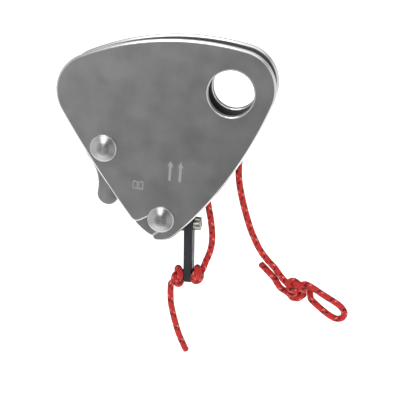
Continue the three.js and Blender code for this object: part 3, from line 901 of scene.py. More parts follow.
def turned_mesh(name: str, profile: Sequence[Point2], facets: int) -> bpy.types.Mesh:
    """Turns a profile round the Y axis, with a UV map named lay whose U runs round it.

    Args:
        name: The mesh's name.
        profile: Radius and Y of each point, from one end of the axis to the other.
        facets: How many faces go round.

    Returns:
        The mesh, closed at both poles.
    """
    shape = bmesh.new()
    uv = shape.loops.layers.uv.new("lay")
    rings: list[list[bmesh.types.BMVert]] = []
    for r, y in profile:
        if r == 0:
            rings.append([shape.verts.new((0, y * MM, 0))])
            continue
        angles = (FULL_TURN * i / facets for i in range(facets))
        rings.append([shape.verts.new((r * MM * math.cos(a), y * MM, r * MM * math.sin(a))) for a in angles])
    for step, (one, two) in enumerate(zip(rings, rings[1:])):
        for i in range(facets):
            j = (i + 1) % facets
            corners = [(one, i, step), (one, j, step), (two, j, step + 1), (two, i, step + 1)]
            kept = [c for k, c in enumerate(corners) if len(c[0]) > 1 or k in (0, 2)]
            if len(one) == 1:
                kept = [corners[0], corners[2], corners[3]]
            elif len(two) == 1:
                kept = [corners[0], corners[1], corners[2]]
            face = shape.faces.new([ring[index % len(ring)] for ring, index, _ in kept])
            for loop, (_, index, row) in zip(face.loops, kept):
                round_share = (i + (1 if index == j else 0)) / facets
                loop[uv].uv = (round_share, row / len(profile))
    mesh = mesh_from(shape, name)
    shade(mesh, 38)
    return mesh


@dataclass
class PivotRivets:
    """The two stepped rivets, one mesh laid at two places by Geometry Nodes.

    Attributes:
        finishes: The materials.
        upper: Where the upper rivet is.
        lower: Where the lower rivet is.
        head: The head's radius.
        seat: How far the head's underside is from the middle plane.
        rise: How high the head stands over its seat.
        flat: The radius of the flat on top.
        rim: How high the head's rim is.
        shank: The shank's radius.
        neck: The radius where it goes through the back plate.
        inner: Where the shank steps down to its neck.
        tail_seat: Where the peened tail starts.
        tail: The tail's radius.
        tail_rise: How high the tail stands.
    """

    finishes: Finishes
    upper: Point3 = (-59.9, 0.0, -33.9)
    lower: Point3 = (-29.0, 0.0, -67.3)
    head: float = 6.8
    seat: float = 10.7
    rise: float = 2.1
    flat: float = 2.7
    rim: float = 0.9
    shank: float = 4.0
    neck: float = 3.4
    inner: float = 6.5
    tail_seat: float = 11.4
    tail: float = 5.2
    tail_rise: float = 1.4

    def profile(self) -> list[Point2]:
        """The rivet from the middle of its head to the middle of its tail."""
        crown, shoulder = -self.seat - self.rise, -self.seat - self.rim
        slope = (shoulder - crown) / (self.head - self.flat)
        radii = np.linspace(self.flat + 0.6, self.head - 0.3, 7)
        cone = [(r, crown + slope * (r - self.flat)) for r in radii]
        angles = np.linspace(math.pi / 2, 0.18, 9)
        dome = [(self.tail * math.sin(a), self.tail_seat + self.tail_rise * math.cos(a)) for a in angles]
        return [
            (0.0, crown + 0.05),
            (0.5, crown + 0.03),
            (1.4, crown + 0.01),
            (self.flat - 0.7, crown + 0.015),
            (self.flat - 0.2, crown + 0.05),
            (self.flat + 0.2, crown + 0.11),
            *cone,
            (self.head - 0.12, shoulder + 0.05),
            (self.head - 0.02, shoulder + 0.2),
            (self.head, shoulder + 0.4),
            (self.head, -self.seat - 0.1),
            (self.head - 0.1, -self.seat),
            (self.shank, -self.seat),
            (self.shank, self.inner),
            (self.neck, self.inner),
            (self.neck, self.tail_seat),
            *dome,
            (0.0, self.tail_seat + self.tail_rise),
        ]

    def tree(self) -> bpy.types.NodeTree:
        """Lays the incoming mesh at two places."""
        build = TreeBuilder(
            "rivet_pair",
            {
                "Upper": ("NodeSocketVector", None),
                "Lower": ("NodeSocketVector", None),
                "Material": ("NodeSocketMaterial", None),
            },
        )
        first = build.add("GeometryNodeMeshLine", {"Count": 1, "Start Location": build.given("Upper")})
        second = build.add("GeometryNodeMeshLine", {"Count": 1, "Start Location": build.given("Lower")})
        places = build.add("GeometryNodeJoinGeometry")
        for line in (first, second):
            build.tree.links.new(line.outputs["Mesh"], places.inputs["Geometry"])
        laid = build.add(
            "GeometryNodeInstanceOnPoints", {"Points": places.outputs[0], "Instance": build.given("Geometry")}
        )
        return build.finish(laid.outputs["Instances"], build.given("Material"))

    def build(self) -> None:
        """Builds both rivets."""
        host = object_from("rivet_host", turned_mesh("rivet", self.profile(), 96))
        values = {
            "Upper": [c * MM for c in self.upper],
            "Lower": [c * MM for c in self.lower],
            "Material": self.finishes.turned,
        }
        add_tree_modifier(host, self.tree(), values)
        rivets = baked(host, "pivot_rivets")
        settle(rivets, Body.CHASSIS, Slot.TURNED, "upper_pivot_rivet", "lower_pivot_rivet")


@dataclass
class SmoothedPart:
    """A part whose CAD faces are kept and whose edges are broken and shaded smooth.

    Attributes:
        node: The CAD node it stands for.
        name: The piece's name.
        body: The body it rides on.
        slot: Its material slot.
        break_mm: How wide its edges are broken, or 0.
        sharp: Above this angle an edge is an edge and not part of a curve, in degrees.
        winds_with: For the spring, the second body that it is logged as winding between; such a piece is baked
            in place and rides on no body.
    """

    node: str
    name: str
    body: Body
    slot: Slot
    break_mm: float = 0.0
    sharp: float = 32.0
    winds_with: Body | None = None

    def build(self, material: bpy.types.Material) -> None:
        """Builds the piece from that material."""
        shape = bmesh.new()
        shape.from_mesh(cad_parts[self.node].data)
        bmesh.ops.remove_doubles(shape, verts=shape.verts, dist=2e-6)
        limit = math.radians(0.6)
        bmesh.ops.dissolve_limit(shape, angle_limit=limit, verts=shape.verts, edges=shape.edges)
        if self.break_mm:
            sharp = math.radians(self.sharp)
            broken = [e for e in shape.edges if e.is_manifold and e.calc_face_angle() > sharp]
            bmesh.ops.bevel(
                shape,
                geom=broken,
                offset=self.break_mm * MM,
                offset_type="OFFSET",
                segments=3,
                profile=0.5,
                affect="EDGES",
                clamp_overlap=True,
            )
        mesh = mesh_from(shape, self.name)
        shade(mesh, self.sharp)
        piece = object_from(self.name, mesh, material)
        if not self.winds_with:
            settle(piece, self.body, self.slot, self.node)
            return
        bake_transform(piece)
        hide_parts(self.node)
        LOG.info("%s: winds between %s and %s", piece.name, self.winds_with.value, self.body.value)


@dataclass
class InnerWorks:
    """The anvil, the cam, the arm and the small parts between the plates."""

    finishes: Finishes

    def build(self) -> None:
        """Builds every part that keeps its CAD shape."""
        f, chassis, cam, turned = self.finishes, Body.CHASSIS, Body.CAM, Slot.TURNED
        materials = {
            Slot.CAST: f.cast, Slot.NYLON: f.nylon, Slot.SCREW: f.screw,
            Slot.TURNED: f.plain_turned, Slot.BRONZE: f.bronze, Slot.SPRING: f.wire,
        }
        for part in (
            SmoothedPart("anvil_block", "anvil_cast", chassis, Slot.CAST, 0.35),
            SmoothedPart("cam", "cam_cast", cam, Slot.CAST, 0.0, 24),
            SmoothedPart("release_arm", "arm_moulded", cam, Slot.NYLON, 0.28),
            SmoothedPart("arm_screw", "arm_cap_screw", cam, Slot.SCREW, 0.12),
            SmoothedPart("cord_guide_spool", "cord_guide_turned", chassis, turned, 0.1),
            SmoothedPart("guide_spool_rivet", "guide_rivet", chassis, turned, 0.12),
            SmoothedPart("upper_rear_washer", "rear_washer_upper", chassis, turned, 0.1),
            SmoothedPart("lower_rear_washer", "rear_washer_lower", chassis, turned, 0.1),
            SmoothedPart("cam_stop_pin", "stop_pin_ground", chassis, turned, 0.08),
            SmoothedPart("anvil_dowel_upper", "dowel_upper_ground", chassis, turned, 0.1),
            SmoothedPart("anvil_dowel_lower", "dowel_lower_ground", chassis, turned, 0.1),
            SmoothedPart("upper_pivot_washer", "pivot_washer_bronze", chassis, Slot.BRONZE, 0.06),
            SmoothedPart("cam_spacer", "cam_spacer_bronze", chassis, Slot.BRONZE, 0.1),
            SmoothedPart("cam_bush", "cam_bush_bronze", cam, Slot.BRONZE, 0.1),
            SmoothedPart("cam_spring", "cam_spring_wire", chassis, Slot.SPRING, 0.0, 70, cam),
        ):
            part.build(materials[part.slot])


# ---- cord ----------------------------------------------------------------------------------------------


def resampled(line: np.ndarray, step: float) -> np.ndarray:
    """The line again, with its points about step apart."""
    along = np.r_[0, np.cumsum(np.linalg.norm(np.diff(line, axis=0), axis=1))]
    at = np.linspace(0, along[-1], max(2, round(along[-1] / step) + 1))
    return np.stack([np.interp(at, along, line[:, k]) for k in range(3)], axis=1)


def nearest_index(line: np.ndarray, place: Sequence[float]) -> int:
    """The index of the line's point that is nearest to a place."""
    return int(np.linalg.norm(line - np.asarray(place), axis=1).argmin())


def with_count(line: np.ndarray, count: int) -> np.ndarray:
    """The line again, as that many points evenly apart."""
    return resampled(line, float(np.linalg.norm(np.diff(line, axis=0), axis=1).sum()) / (count - 1))


def smooth_route(points: Sequence[Point2], step: float = 0.4) -> np.ndarray:
    """A smooth curve through points of the middle plane.

    Args:
        points: X and Z of each point.
        step: How far apart the curve's points are.

    Returns:
        The curve's points in three dimensions.
    """
    p = np.array([(x, 0.0, z) for x, z in points])
    padded = np.vstack([2 * p[0] - p[1], p, 2 * p[-1] - p[-2]])
    t = np.linspace(0, 1, 12, endpoint=False)[:, None]
    spans = []
    for a, b, c, d in zip(padded, padded[1:], padded[2:], padded[3:]):
        square, cube = 2 * a - 5 * b + 4 * c - d, 3 * b - a - 3 * c + d
        spans.append(0.5 * (2 * b + (c - a) * t + square * t**2 + cube * t**3))
    return resampled(np.vstack([*spans, p[-1:]]), step)


def relaxed(line: np.ndarray, held: np.ndarray, rounds: int) -> np.ndarray:
    """Evens out a line's bends, with some of its points held."""
    line = line.copy()
    for _ in range(rounds):
        middle = 0.25 * (line[:-2] + 2 * line[1:-1] + line[2:])
        free = ~held[1:-1]
        line[1:-1][free] = middle[free]
    return line


@dataclass
class KnotTightener:
    """Pulls a loosely laid strand tight without letting it pass through itself.

    Attributes:
        rounds: How many steps the pull takes.
        diameter: How near two parts of the strand may lie.
        stiffness: How straight four neighbouring spans stay, from 0 to 1.
    """

    rounds: int
    diameter: float = KNOT_CLEARANCE
    stiffness: float = 0.9

    def pull(
        self,
        line: np.ndarray,
        held: np.ndarray,
        spans: np.ndarray,
        drift: np.ndarray,
        wall: tuple[np.ndarray, float] | None = None,
    ) -> np.ndarray:
        """Shortens the strand's spans to their final lengths.

        Args:
            line: The loose strand's points.
            held: Which points stay where they are.
            spans: Each span's final length.
            drift: A small push on every free point at each step.
            wall: A plane's normal and offset that free points stay below, if there is one.

        Returns:
            The tightened strand's points.
        """
        p, n = line.copy(), len(line)
        kept = np.flatnonzero(~held)[2:-2]
        first = np.linalg.norm(np.diff(p, axis=0), axis=1)
        free = np.where(held, 0.0, 1.0)
        i, j = np.triu_indices(n, 1)
        for step in range(self.rounds):
            share = min(1.0, step / (0.6 * self.rounds))
            length = first + (spans - first) * share
            if step % 10 == 0:
                along = np.r_[0, np.cumsum(length)]
                apart = (along[j] - along[i]) > 1.6 * self.diameter
                one, two = i[apart], j[apart]
            if step < 0.85 * self.rounds:
                p += drift * free[:, None]
            for start in (0, 1, 0, 1, 0, 1):
                a = np.arange(start, n - 1, 2)
                self.correct(p, a, a + 1, length[a], free, 1.0)
            a = np.arange(n - 4)
            self.correct(p, a, a + 4, (along[a + 4] - along[a]) * self.stiffness, free, 0.35, only="short")
            gap = p[two] - p[one]
            near = (gap * gap).sum(1) < self.diameter**2
            self.correct(p, one[near], two[near], self.diameter, free, 1.0, only="short", shared=True)
            if wall:
                p[kept] -= np.maximum(p[kept] @ wall[0] - wall[1], 0)[:, None] * wall[0]
        return p

    @staticmethod
    def correct(
        p: np.ndarray,
        a: np.ndarray,
        b: np.ndarray,
        wanted: Any,
        free: np.ndarray,
        share: float,
        only: str = "",
        shared: bool = False,
    ) -> None:
        """Moves pairs of points towards the distance they should have.

        Args:
            p: Every point, changed in place.
            a: The first point of each pair.
            b: The second point of each pair.
            wanted: The distance they should have.
            free: 1 for points that move and 0 for held ones.
            share: How much of the error is taken out.
            only: "short" leaves pairs that are far enough apart alone.
            shared: Whether a point with several corrections takes their average.
        """
        if not len(a):
            return
        gap = p[b] - p[a]
        long = np.linalg.norm(gap, axis=1) + 1e-9
        error = long - wanted
        if only == "short":
            error = np.minimum(error, 0)
        weight = np.maximum(free[a] + free[b], 1e-9)
        move = (share * error / long / weight)[:, None] * gap
        shift, count = np.zeros_like(p), np.zeros(len(p))
        np.add.at(shift, a, move * free[a][:, None])
        np.add.at(shift, b, -move * free[b][:, None])
        if shared:
            np.add.at(count, a, 1)
            np.add.at(count, b, 1)
            shift /= np.maximum(1, 0.5 * count)[:, None]
        p += shift


def loose_overhand(size: float, hand: int, roll: float, lean: float, centre: np.ndarray) -> np.ndarray:
    """A loosely laid overhand knot whose strand runs along X.

    Args:
        size: Its scale in millimetres.
        hand: 1 or -1, which way it is tied.
        roll: Its turn about its own strand, in degrees.
        lean: How far the strand is turned in the plates' plane, in degrees.
        centre: Where it is.

    Returns:
        Its points.
    """
    t = np.linspace(-2.05, 2.05, 100)
    knot = np.stack([t**3 - 3 * t, 0.8 * (t**4 - 4 * t**2), 0.16 * hand * (t**5 - 10 * t)], axis=1) * size
    turn = Matrix.Rotation(math.radians(roll), 3, "X")
    tilt = Matrix.Rotation(math.radians(lean), 3, "Y")
    return knot @ np.array(tilt @ turn).T + centre


@dataclass
class BraidTree:
    """The Geometry Nodes tree that lays a two-over-two braid of yarns round a strand's line.

    Attributes:
        carriers: How many yarns run each way round.
        pitch: The length in which a yarn goes once round.
        radius: The sheath's outer radius.
        yarn_width: How wide a yarn is.
        yarn_thickness: How thick it is.
        crimp: How far it rises and dips as it crosses the others.
    """

    carriers: int = 8
    pitch: float = 8.4
    radius: float = 1.72
    yarn_width: float = 0.82
    yarn_thickness: float = 0.4
    crimp: float = 0.1

    def build(self) -> bpy.types.NodeTree:
        """Builds the tree. The incoming line has the point attributes side, ahead and run."""
        b = TreeBuilder(
            "braided_sheath",
            {
                "Carriers": ("NodeSocketInt", self.carriers),
                "Pitch": ("NodeSocketFloat", self.pitch * MM),
                "Radius": ("NodeSocketFloat", self.radius * MM),
                "Yarn Width": ("NodeSocketFloat", self.yarn_width * MM),
                "Yarn Thickness": ("NodeSocketFloat", self.yarn_thickness * MM),
                "Crimp": ("NodeSocketFloat", self.crimp * MM),
                "Material": ("NodeSocketMaterial", None),
            },
        )
        line = b.add("GeometryNodeMeshToCurve", {"Mesh": b.given("Geometry")}).outputs["Curve"]
        carriers = b.given("Carriers")
        amount = b.math("MULTIPLY", carriers, 2)
        laid = b.add("GeometryNodeDuplicateElements", {"Geometry": line, "Amount": amount}, domain="SPLINE")
        index = laid.outputs["Duplicate Index"]
        hand = b.math("SUBTRACT", b.math("MULTIPLY", b.math("MODULO", index, 2), 2), 1)
        carrier = b.math("FLOOR", b.math("DIVIDE", index, 2))
        run = b.read("run", "FLOAT")
        turn = b.math("MULTIPLY", b.math("DIVIDE", run, b.given("Pitch")), FULL_TURN)
        spread = b.math("DIVIDE", b.math("MULTIPLY", carrier, FULL_TURN), carriers)
        angle = b.math("ADD", b.math("MULTIPLY", hand, turn), spread)
        # Over two and under two: the phase moves on half a period from each carrier to the next.
        phase = b.math("MULTIPLY", b.math("MULTIPLY", turn, carriers), 0.5)
        phase = b.math("ADD", b.math("MULTIPLY", hand, phase), b.math("MULTIPLY", carrier, math.pi))
        wave = b.math("MULTIPLY", b.math("COSINE", b.math("SUBTRACT", phase, math.pi / 4)), 1.5)
        wave = b.math("MAXIMUM", b.math("MINIMUM", wave, 1.0), -1.0)
        rise = b.math("MULTIPLY", b.math("MULTIPLY", wave, hand), b.given("Crimp"))
        side, ahead = b.read("side", "FLOAT_VECTOR"), b.read("ahead", "FLOAT_VECTOR")
        across = b.vector("CROSS_PRODUCT", ahead, side)
        radial = b.vector(
            "ADD", b.times(side, b.math("COSINE", angle)), b.times(across, b.math("SINE", angle))
        )
        half = b.math("MULTIPLY", b.given("Yarn Thickness"), 0.5)
        middle = b.math("SUBTRACT", b.math("SUBTRACT", b.given("Radius"), half), b.given("Crimp"))
        offset = b.times(radial, b.math("ADD", middle, rise))
        moved = b.add("GeometryNodeSetPosition", {"Geometry": laid.outputs["Geometry"], "Offset": offset})
        # The flattening below needs each yarn's own line and outward direction.
        curve = b.store(moved.outputs["Geometry"], "out", "FLOAT_VECTOR", radial)
        curve = b.store(curve, "mid", "FLOAT_VECTOR", b.add("GeometryNodeInputPosition").outputs[0])
        kind = self.tracers(b, index)
        curve = b.store(curve, "yarn", "FLOAT", kind)
        curve = b.store(curve, "number", "FLOAT", index)
        half_width = b.math("MULTIPLY", b.given("Yarn Width"), 0.5)
        ring = b.add("GeometryNodeCurvePrimitiveCircle", {"Resolution": 8, "Radius": half_width})
        around = b.add("GeometryNodeSplineParameter").outputs["Factor"]
        section = b.store(ring.outputs["Curve"], "around", "FLOAT", around)
        yarns = b.add(
            "GeometryNodeCurveToMesh", {"Curve": curve, "Profile Curve": section, "Fill Caps": True}
        ).outputs["Mesh"]
        out, mid = b.read("out", "FLOAT_VECTOR"), b.read("mid", "FLOAT_VECTOR")
        here = b.add("GeometryNodeInputPosition").outputs[0]
        depth = b.vector("DOT_PRODUCT", b.vector("SUBTRACT", here, mid), out)
        flat = b.math("SUBTRACT", b.math("DIVIDE", b.given("Yarn Thickness"), b.given("Yarn Width")), 1.0)
        press = b.times(out, b.math("MULTIPLY", depth, flat))
        pressed = b.add("GeometryNodeSetPosition", {"Geometry": yarns, "Offset": press})
        lay = b.add(
            "ShaderNodeCombineXYZ",
            {"X": b.read("around", "FLOAT"), "Y": b.read("run", "FLOAT"), "Z": b.read("number", "FLOAT")},
        ).outputs[0]
        sheath = b.store(pressed.outputs["Geometry"], "lay", "FLOAT_VECTOR", lay)
        core_radius = b.math("SUBTRACT", middle, b.math("MULTIPLY", half, 0.6))
        core_ring = b.add("GeometryNodeCurvePrimitiveCircle", {"Resolution": 14, "Radius": core_radius})
        shapes = {"Curve": line, "Profile Curve": core_ring.outputs["Curve"], "Fill Caps": True}
        core = b.add("GeometryNodeCurveToMesh", shapes).outputs["Mesh"]
        # The core is tagged 3, which the sheath material colours dark as painted shade between the yarns.
        inside = b.add("ShaderNodeValue")
        inside.outputs[0].default_value = 3.0
        core = b.store(core, "yarn", "FLOAT", inside.outputs[0])
        both = b.add("GeometryNodeJoinGeometry")
        for part in (core, sheath):
            b.tree.links.new(part, both.inputs["Geometry"])
        return b.finish(both.outputs["Geometry"], b.given("Material"))

    @staticmethod
    def tracers(b: TreeBuilder, index: bpy.types.NodeSocket) -> bpy.types.NodeSocket:
        """1 on the dark tracer yarns, 2 on the pale ones and 0 on the rest."""
        kind: Any = None
        for number, value in ((0, 1.0), (9, 1.0), (4, 2.0)):
            part = b.math("MULTIPLY", b.math("COMPARE", index, number, 0.1), value)
            kind = part if kind is None else b.math("ADD", kind, part)
        return kind


@dataclass
class Strand:
    """One stretch of the cord with the frame that its braid follows.

    Attributes:
        points: Its centre line in millimetres.
        side: A unit vector square to the line at each point.
        ahead: The line's direction at each point.
        run: The cord's length up to each point.
    """

    points: np.ndarray
    side: np.ndarray
    ahead: np.ndarray
    run: np.ndarray

    @classmethod
    def along(cls, points: np.ndarray) -> "Strand":
        """Finds the direction, the untwisted side and the length along a line."""
        ahead = np.gradient(points, axis=0)
        ahead /= np.linalg.norm(ahead, axis=1)[:, None]
        side = np.zeros_like(points)
        last = np.cross(ahead[0], (0.0, 1.0, 0.3))
        for i, direction in enumerate(ahead):
            last = last - direction * (last @ direction)
            last /= np.linalg.norm(last)
            side[i] = last
        run = np.r_[0, np.cumsum(np.linalg.norm(np.diff(points, axis=0), axis=1))]
        return cls(points, side, ahead, run)

    def part(self, start: int, end: int) -> "Strand":
        """The stretch from one point's index to another's."""
        cut = slice(start, end + 1)
        return Strand(self.points[cut], self.side[cut], self.ahead[cut], self.run[cut])

    @property
    def length(self) -> float:
        """Its length in metres."""
        return float(self.run[-1] - self.run[0]) * MM

    @property
    def path(self) -> list[Point3]:
        """Its points in metres."""
        return [tuple(float(c) * MM for c in p) for p in self.points]

    def host(self, name: str) -> bpy.types.Object:
        """A mesh of edges along the line, with the attributes that the braid reads."""
        mesh = bpy.data.meshes.new(name)
        count = len(self.points)
        mesh.from_pydata(self.path, [(i, i + 1) for i in range(count - 1)], [])
        for label, values in (("side", self.side), ("ahead", self.ahead)):
            layer = mesh.attributes.new(label, "FLOAT_VECTOR", "POINT")
            layer.data.foreach_set("vector", values.astype(np.float32).ravel())
        layer = mesh.attributes.new("run", "FLOAT", "POINT")
        layer.data.foreach_set("value", (self.run * MM).astype(np.float32))
        return object_from(name, mesh)


@dataclass
class ReleaseCord:
    """The red cord from its loose tail, through the arm and over the guide, to its hand loop.

    Attributes:
        finishes: The materials.
        diameter: How thick it is.
        step: How far apart the points of its line are.
        pivot: X and Z of the cam's pivot.
        arm_tilt: How far the arm leans from straight down, in radians.
        arm_left: Where the arm's left face is, in its own frame.
        arm_width: How wide the arm is.
        hole_drop: How far below the pivot the arm's hole is.
        guide: X and Z of the guide.
        wrap: The radius of the turn over the guide.
        tail_route: X and Z along the tail, from its tip.
        lift_route: From the right stopper knot up to the guide.
        tow_route: From the guide down to the hand loop's knot.
        loop_route: Round the hand loop.
        stub_route: From the knot to the short cut end.
        tow_knot_centre: X and Z of the hand loop's knot.
        tow_knot_lean: How far that knot leans, in degrees.
        stopper_points: How many points a stopper knot's strand has.
        stopper_lengths: The left and the right stopper knot's length of cord.
        tow_knot_lengths: The length of cord in the hand loop's knot on the way in and on the way out.
        tow_knot_gap: How far each of its two strands lies from their middle.
    """

    finishes: Finishes
    diameter: float = 3.0
    step: float = 0.36
    pivot: tuple[float, float] = (-29.0, -67.3)
    arm_tilt: float = math.radians(3.7)
    arm_left: float = 10.4
    arm_width: float = 4.5
    hole_drop: float = 33.0
    guide: tuple[float, float] = (-1.1, -30.0)
    wrap: float = 7.3
    tail_route: tuple[Point2, ...] = (
        (-12.3, -146.4), (-14.6, -142.0), (-17.0, -137.0), (-19.3, -130.6), (-21.3, -124.0),
        (-22.6, -118.6), (-23.2, -112.7), (-23.3, -110.4), (-23.1, -107.6),
    )
    lift_route: tuple[Point2, ...] = (
        (-6.0, -91.9), (-5.1, -89.5), (-3.9, -84.8), (-3.6, -78.0), (-5.0, -69.0), (-7.4, -59.0),
        (-9.0, -48.0), (-9.0, -38.0),
    )
    tow_route: tuple[Point2, ...] = (
        (6.3, -38.0), (7.0, -44.5), (8.7, -51.5), (11.6, -60.5), (15.8, -71.0), (21.2, -80.6),
        (26.4, -86.6), (31.0, -90.9),
    )
    loop_route: tuple[Point2, ...] = (
        (51.0, -99.4), (55.4, -101.0), (59.6, -102.7), (63.6, -104.7), (66.9, -107.1), (68.6, -110.0),
        (67.6, -112.8), (64.6, -113.6), (61.0, -112.2), (57.4, -109.9), (53.8, -107.3), (50.4, -104.6),
    )
    stub_route: tuple[Point2, ...] = ((31.0, -96.2), (29.0, -94.3), (26.0, -91.6), (22.9, -88.9))
    tow_knot_centre: tuple[float, float] = (42.8, -99.2)
    tow_knot_lean: float = 22.0
    stopper_points: int = 76
    stopper_lengths: tuple[float, float] = (36.0, 39.5)
    tow_knot_lengths: tuple[float, float] = (59.0, 68.0)
    tow_knot_gap: float = 1.45

    def arm_point(self, x: float, z: float) -> np.ndarray:
        """A point given in the arm's own frame, whose origin is on the cam's pivot."""
        c, s = math.cos(self.arm_tilt), math.sin(self.arm_tilt)
        return np.array([self.pivot[0] + x * c - z * s, 0.0, self.pivot[1] + x * s + z * c])

    def over_guide(self) -> list[Point2]:
        """The half turn over the guide, from left to right."""
        angles = np.linspace(math.pi, 0, 13)
        x, z = self.guide
        return [(x + self.wrap * math.cos(a), z + self.wrap * math.sin(a)) for a in angles]

    def arm_knot(
        self,
        before: np.ndarray,
        after: np.ndarray,
        loose: np.ndarray,
        length: float,
        drift: Point2,
        wall: tuple[np.ndarray, float],
        fast: tuple[int, int] = (4, 5),
    ) -> np.ndarray:
        """Ties a stopper knot between two fixed ends.

        Args:
            before: The points that the strand comes from.
            after: The points that it goes on to.
            loose: The loosely laid knot.
            length: The strand's final length between the two.
            drift: A small push along the arm's own X and Z.
            wall: The normal and offset of a plane that the knot stays below.
            fast: How many points are held at each end.

        Returns:
            The whole strand's points.
        """
        line = with_count(np.vstack([before, loose, after]), self.stopper_points)
        held = np.zeros(len(line), bool)
        held[: fast[0]] = True
        held[-fast[1]:] = True
        spans = np.full(len(line) - 1, length / (len(line) - 1))
        push = self.arm_point(*drift) - self.arm_point(0, 0)
        return relaxed(KnotTightener(rounds=800).pull(line, held, spans, push, wall), held, 2)

    def left_stopper(self) -> np.ndarray:
        """From the tail to the middle of the arm's hole."""
        before = np.array([(-23.3, 0, -109.5), (-23.3, 0, -107.7), (-23.1, 0, -105.9)])
        after = np.array([self.arm_point(x, -self.hole_drop) for x in (8.9, 11.2, 12.6)])
        loose = loose_overhand(1.7, -1, 315, -45, self.arm_point(5.2, -34.3))
        if loose[0, 2] > loose[-1, 2]:
            loose = loose[::-1]
        along = self.arm_point(1, 0) - self.arm_point(0, 0)
        wall = (along, float(along @ self.arm_point(self.arm_left - 0.5 * self.diameter, 0)))
        return self.arm_knot(before, after, loose, self.stopper_lengths[0], (0.03, 0), wall)

    def right_stopper(self) -> np.ndarray:
        """From the middle of the arm's hole to the lift strand."""
        before = np.array([self.arm_point(x, -self.hole_drop) for x in (12.6, 14.0, 15.3)])
        after = np.array([(-5.9, 0, -91.6), (-5.3, 0, -90.2), (-4.8, 0, -88.7)])
        loose = loose_overhand(1.6, -1, 0, -30, self.arm_point(20.2, -34.0))
        if loose[0, 0] > loose[-1, 0]:
            loose = loose[::-1]
        back = self.arm_point(0, 0) - self.arm_point(1, 0)
        face = self.arm_left + self.arm_width + 0.45 * self.diameter
        wall = (back, float(back @ self.arm_point(face, 0)))
        length = self.stopper_lengths[1]
        return self.arm_knot(before, after, loose, length, (-0.02, -0.006), wall, (8, 4))

    def tow_knot(self) -> tuple[np.ndarray, int, int]:
        """The doubled knot with the hand loop in it.

        Returns:
            The strand from the tow route's end to the stub's tip, and where its hand loop starts and ends.
        """
        centre = np.array([self.tow_knot_centre[0], 0.0, self.tow_knot_centre[1]])
        knot = loose_overhand(1.9, 1, 0, 0, np.zeros(3))
        if knot[0, 0] > knot[-1, 0]:
            knot = knot[::-1]
        side = Strand.along(knot).side
        turn = np.array(Matrix.Rotation(math.radians(self.tow_knot_lean), 3, "Y")).T
        first, second = ((knot + gap * side) @ turn + centre for gap in (self.tow_knot_gap, -self.tow_knot_gap))
        loop = smooth_route(self.loop_route)
        stub = np.array([(x, 0.0, z) for x, z in self.stub_route])
        tow_end = np.array([(26.4, 0, -86.6), (29.4, 0, -89.3), (32.2, 0, -91.8)])
        one = with_count(np.vstack([tow_end, first, loop[:1]]), 74)
        two = with_count(np.vstack([loop[-1:], second[::-1], stub]), 80)
        loop = with_count(loop, 50)
        line = np.vstack([one[:-1], loop, two[1:]])
        start, end = len(one) - 1, len(one) - 2 + len(loop)
        held = np.zeros(len(line), bool)
        held[:6] = True
        held[-6:] = True
        held[start + 14:end - 12] = True
        spans = np.linalg.norm(np.diff(line, axis=0), axis=1)
        way_in, way_out = self.tow_knot_lengths
        spans[:start] *= way_in / spans[:start].sum()
        spans[end:] *= way_out / spans[end:].sum()
        tight = KnotTightener(rounds=420).pull(line, held, spans, np.zeros(3))
        return relaxed(tight, held, 2), start, end

    def braid(self, name: str, strand: Strand, tree: bpy.types.NodeTree) -> bpy.types.Object:
        """Lays the braid round a stretch of the cord.

        Args:
            name: The piece's name.
            strand: The stretch.
            tree: The braid's node tree.

        Returns:
            The braided piece.
        """
        host = strand.host(f"{name}_line")
        add_tree_modifier(host, tree, {"Material": self.finishes.cord})
        piece = baked(host, name)
        shade(piece.data, 60)
        for spare in ("side", "ahead", "out", "mid", "around", "number", "run"):
            if spare in piece.data.attributes:
                piece.data.attributes.remove(piece.data.attributes[spare])
        return piece

    def sealed_end(self, name: str, strand: Strand, at_start: bool) -> bpy.types.Object:
        """The melted blob on a cut end of the cord.

        Args:
            name: The piece's name.
            strand: The stretch that it seals.
            at_start: Whether it sits on the stretch's first point and not its last.

        Returns:
            The blob.
        """
        i = 0 if at_start else -1
        ahead = Vector(strand.ahead[i] * (-1 if at_start else 1))
        r = 0.5 * self.diameter
        profile = [(0, -0.7), (r - 0.35, -0.7), (r - 0.05, -0.35), (r + 0.02, 0.0), (r - 0.08, 0.35),
                   (r - 0.4, 0.62), (0.6, 0.74), (0, 0.7)]
        mesh = turned_mesh(name, profile, 28)
        turn = ahead.to_track_quat("Y", "Z").to_matrix().to_4x4()
        mesh.transform(Matrix.Translation(Vector(strand.points[i]) * MM) @ turn)
        noise = np.random.default_rng(7)
        for vertex in mesh.vertices:
            vertex.co += Vector(noise.normal(0, 0.03, 3)) * MM
        return object_from(name, mesh, self.finishes.melted)

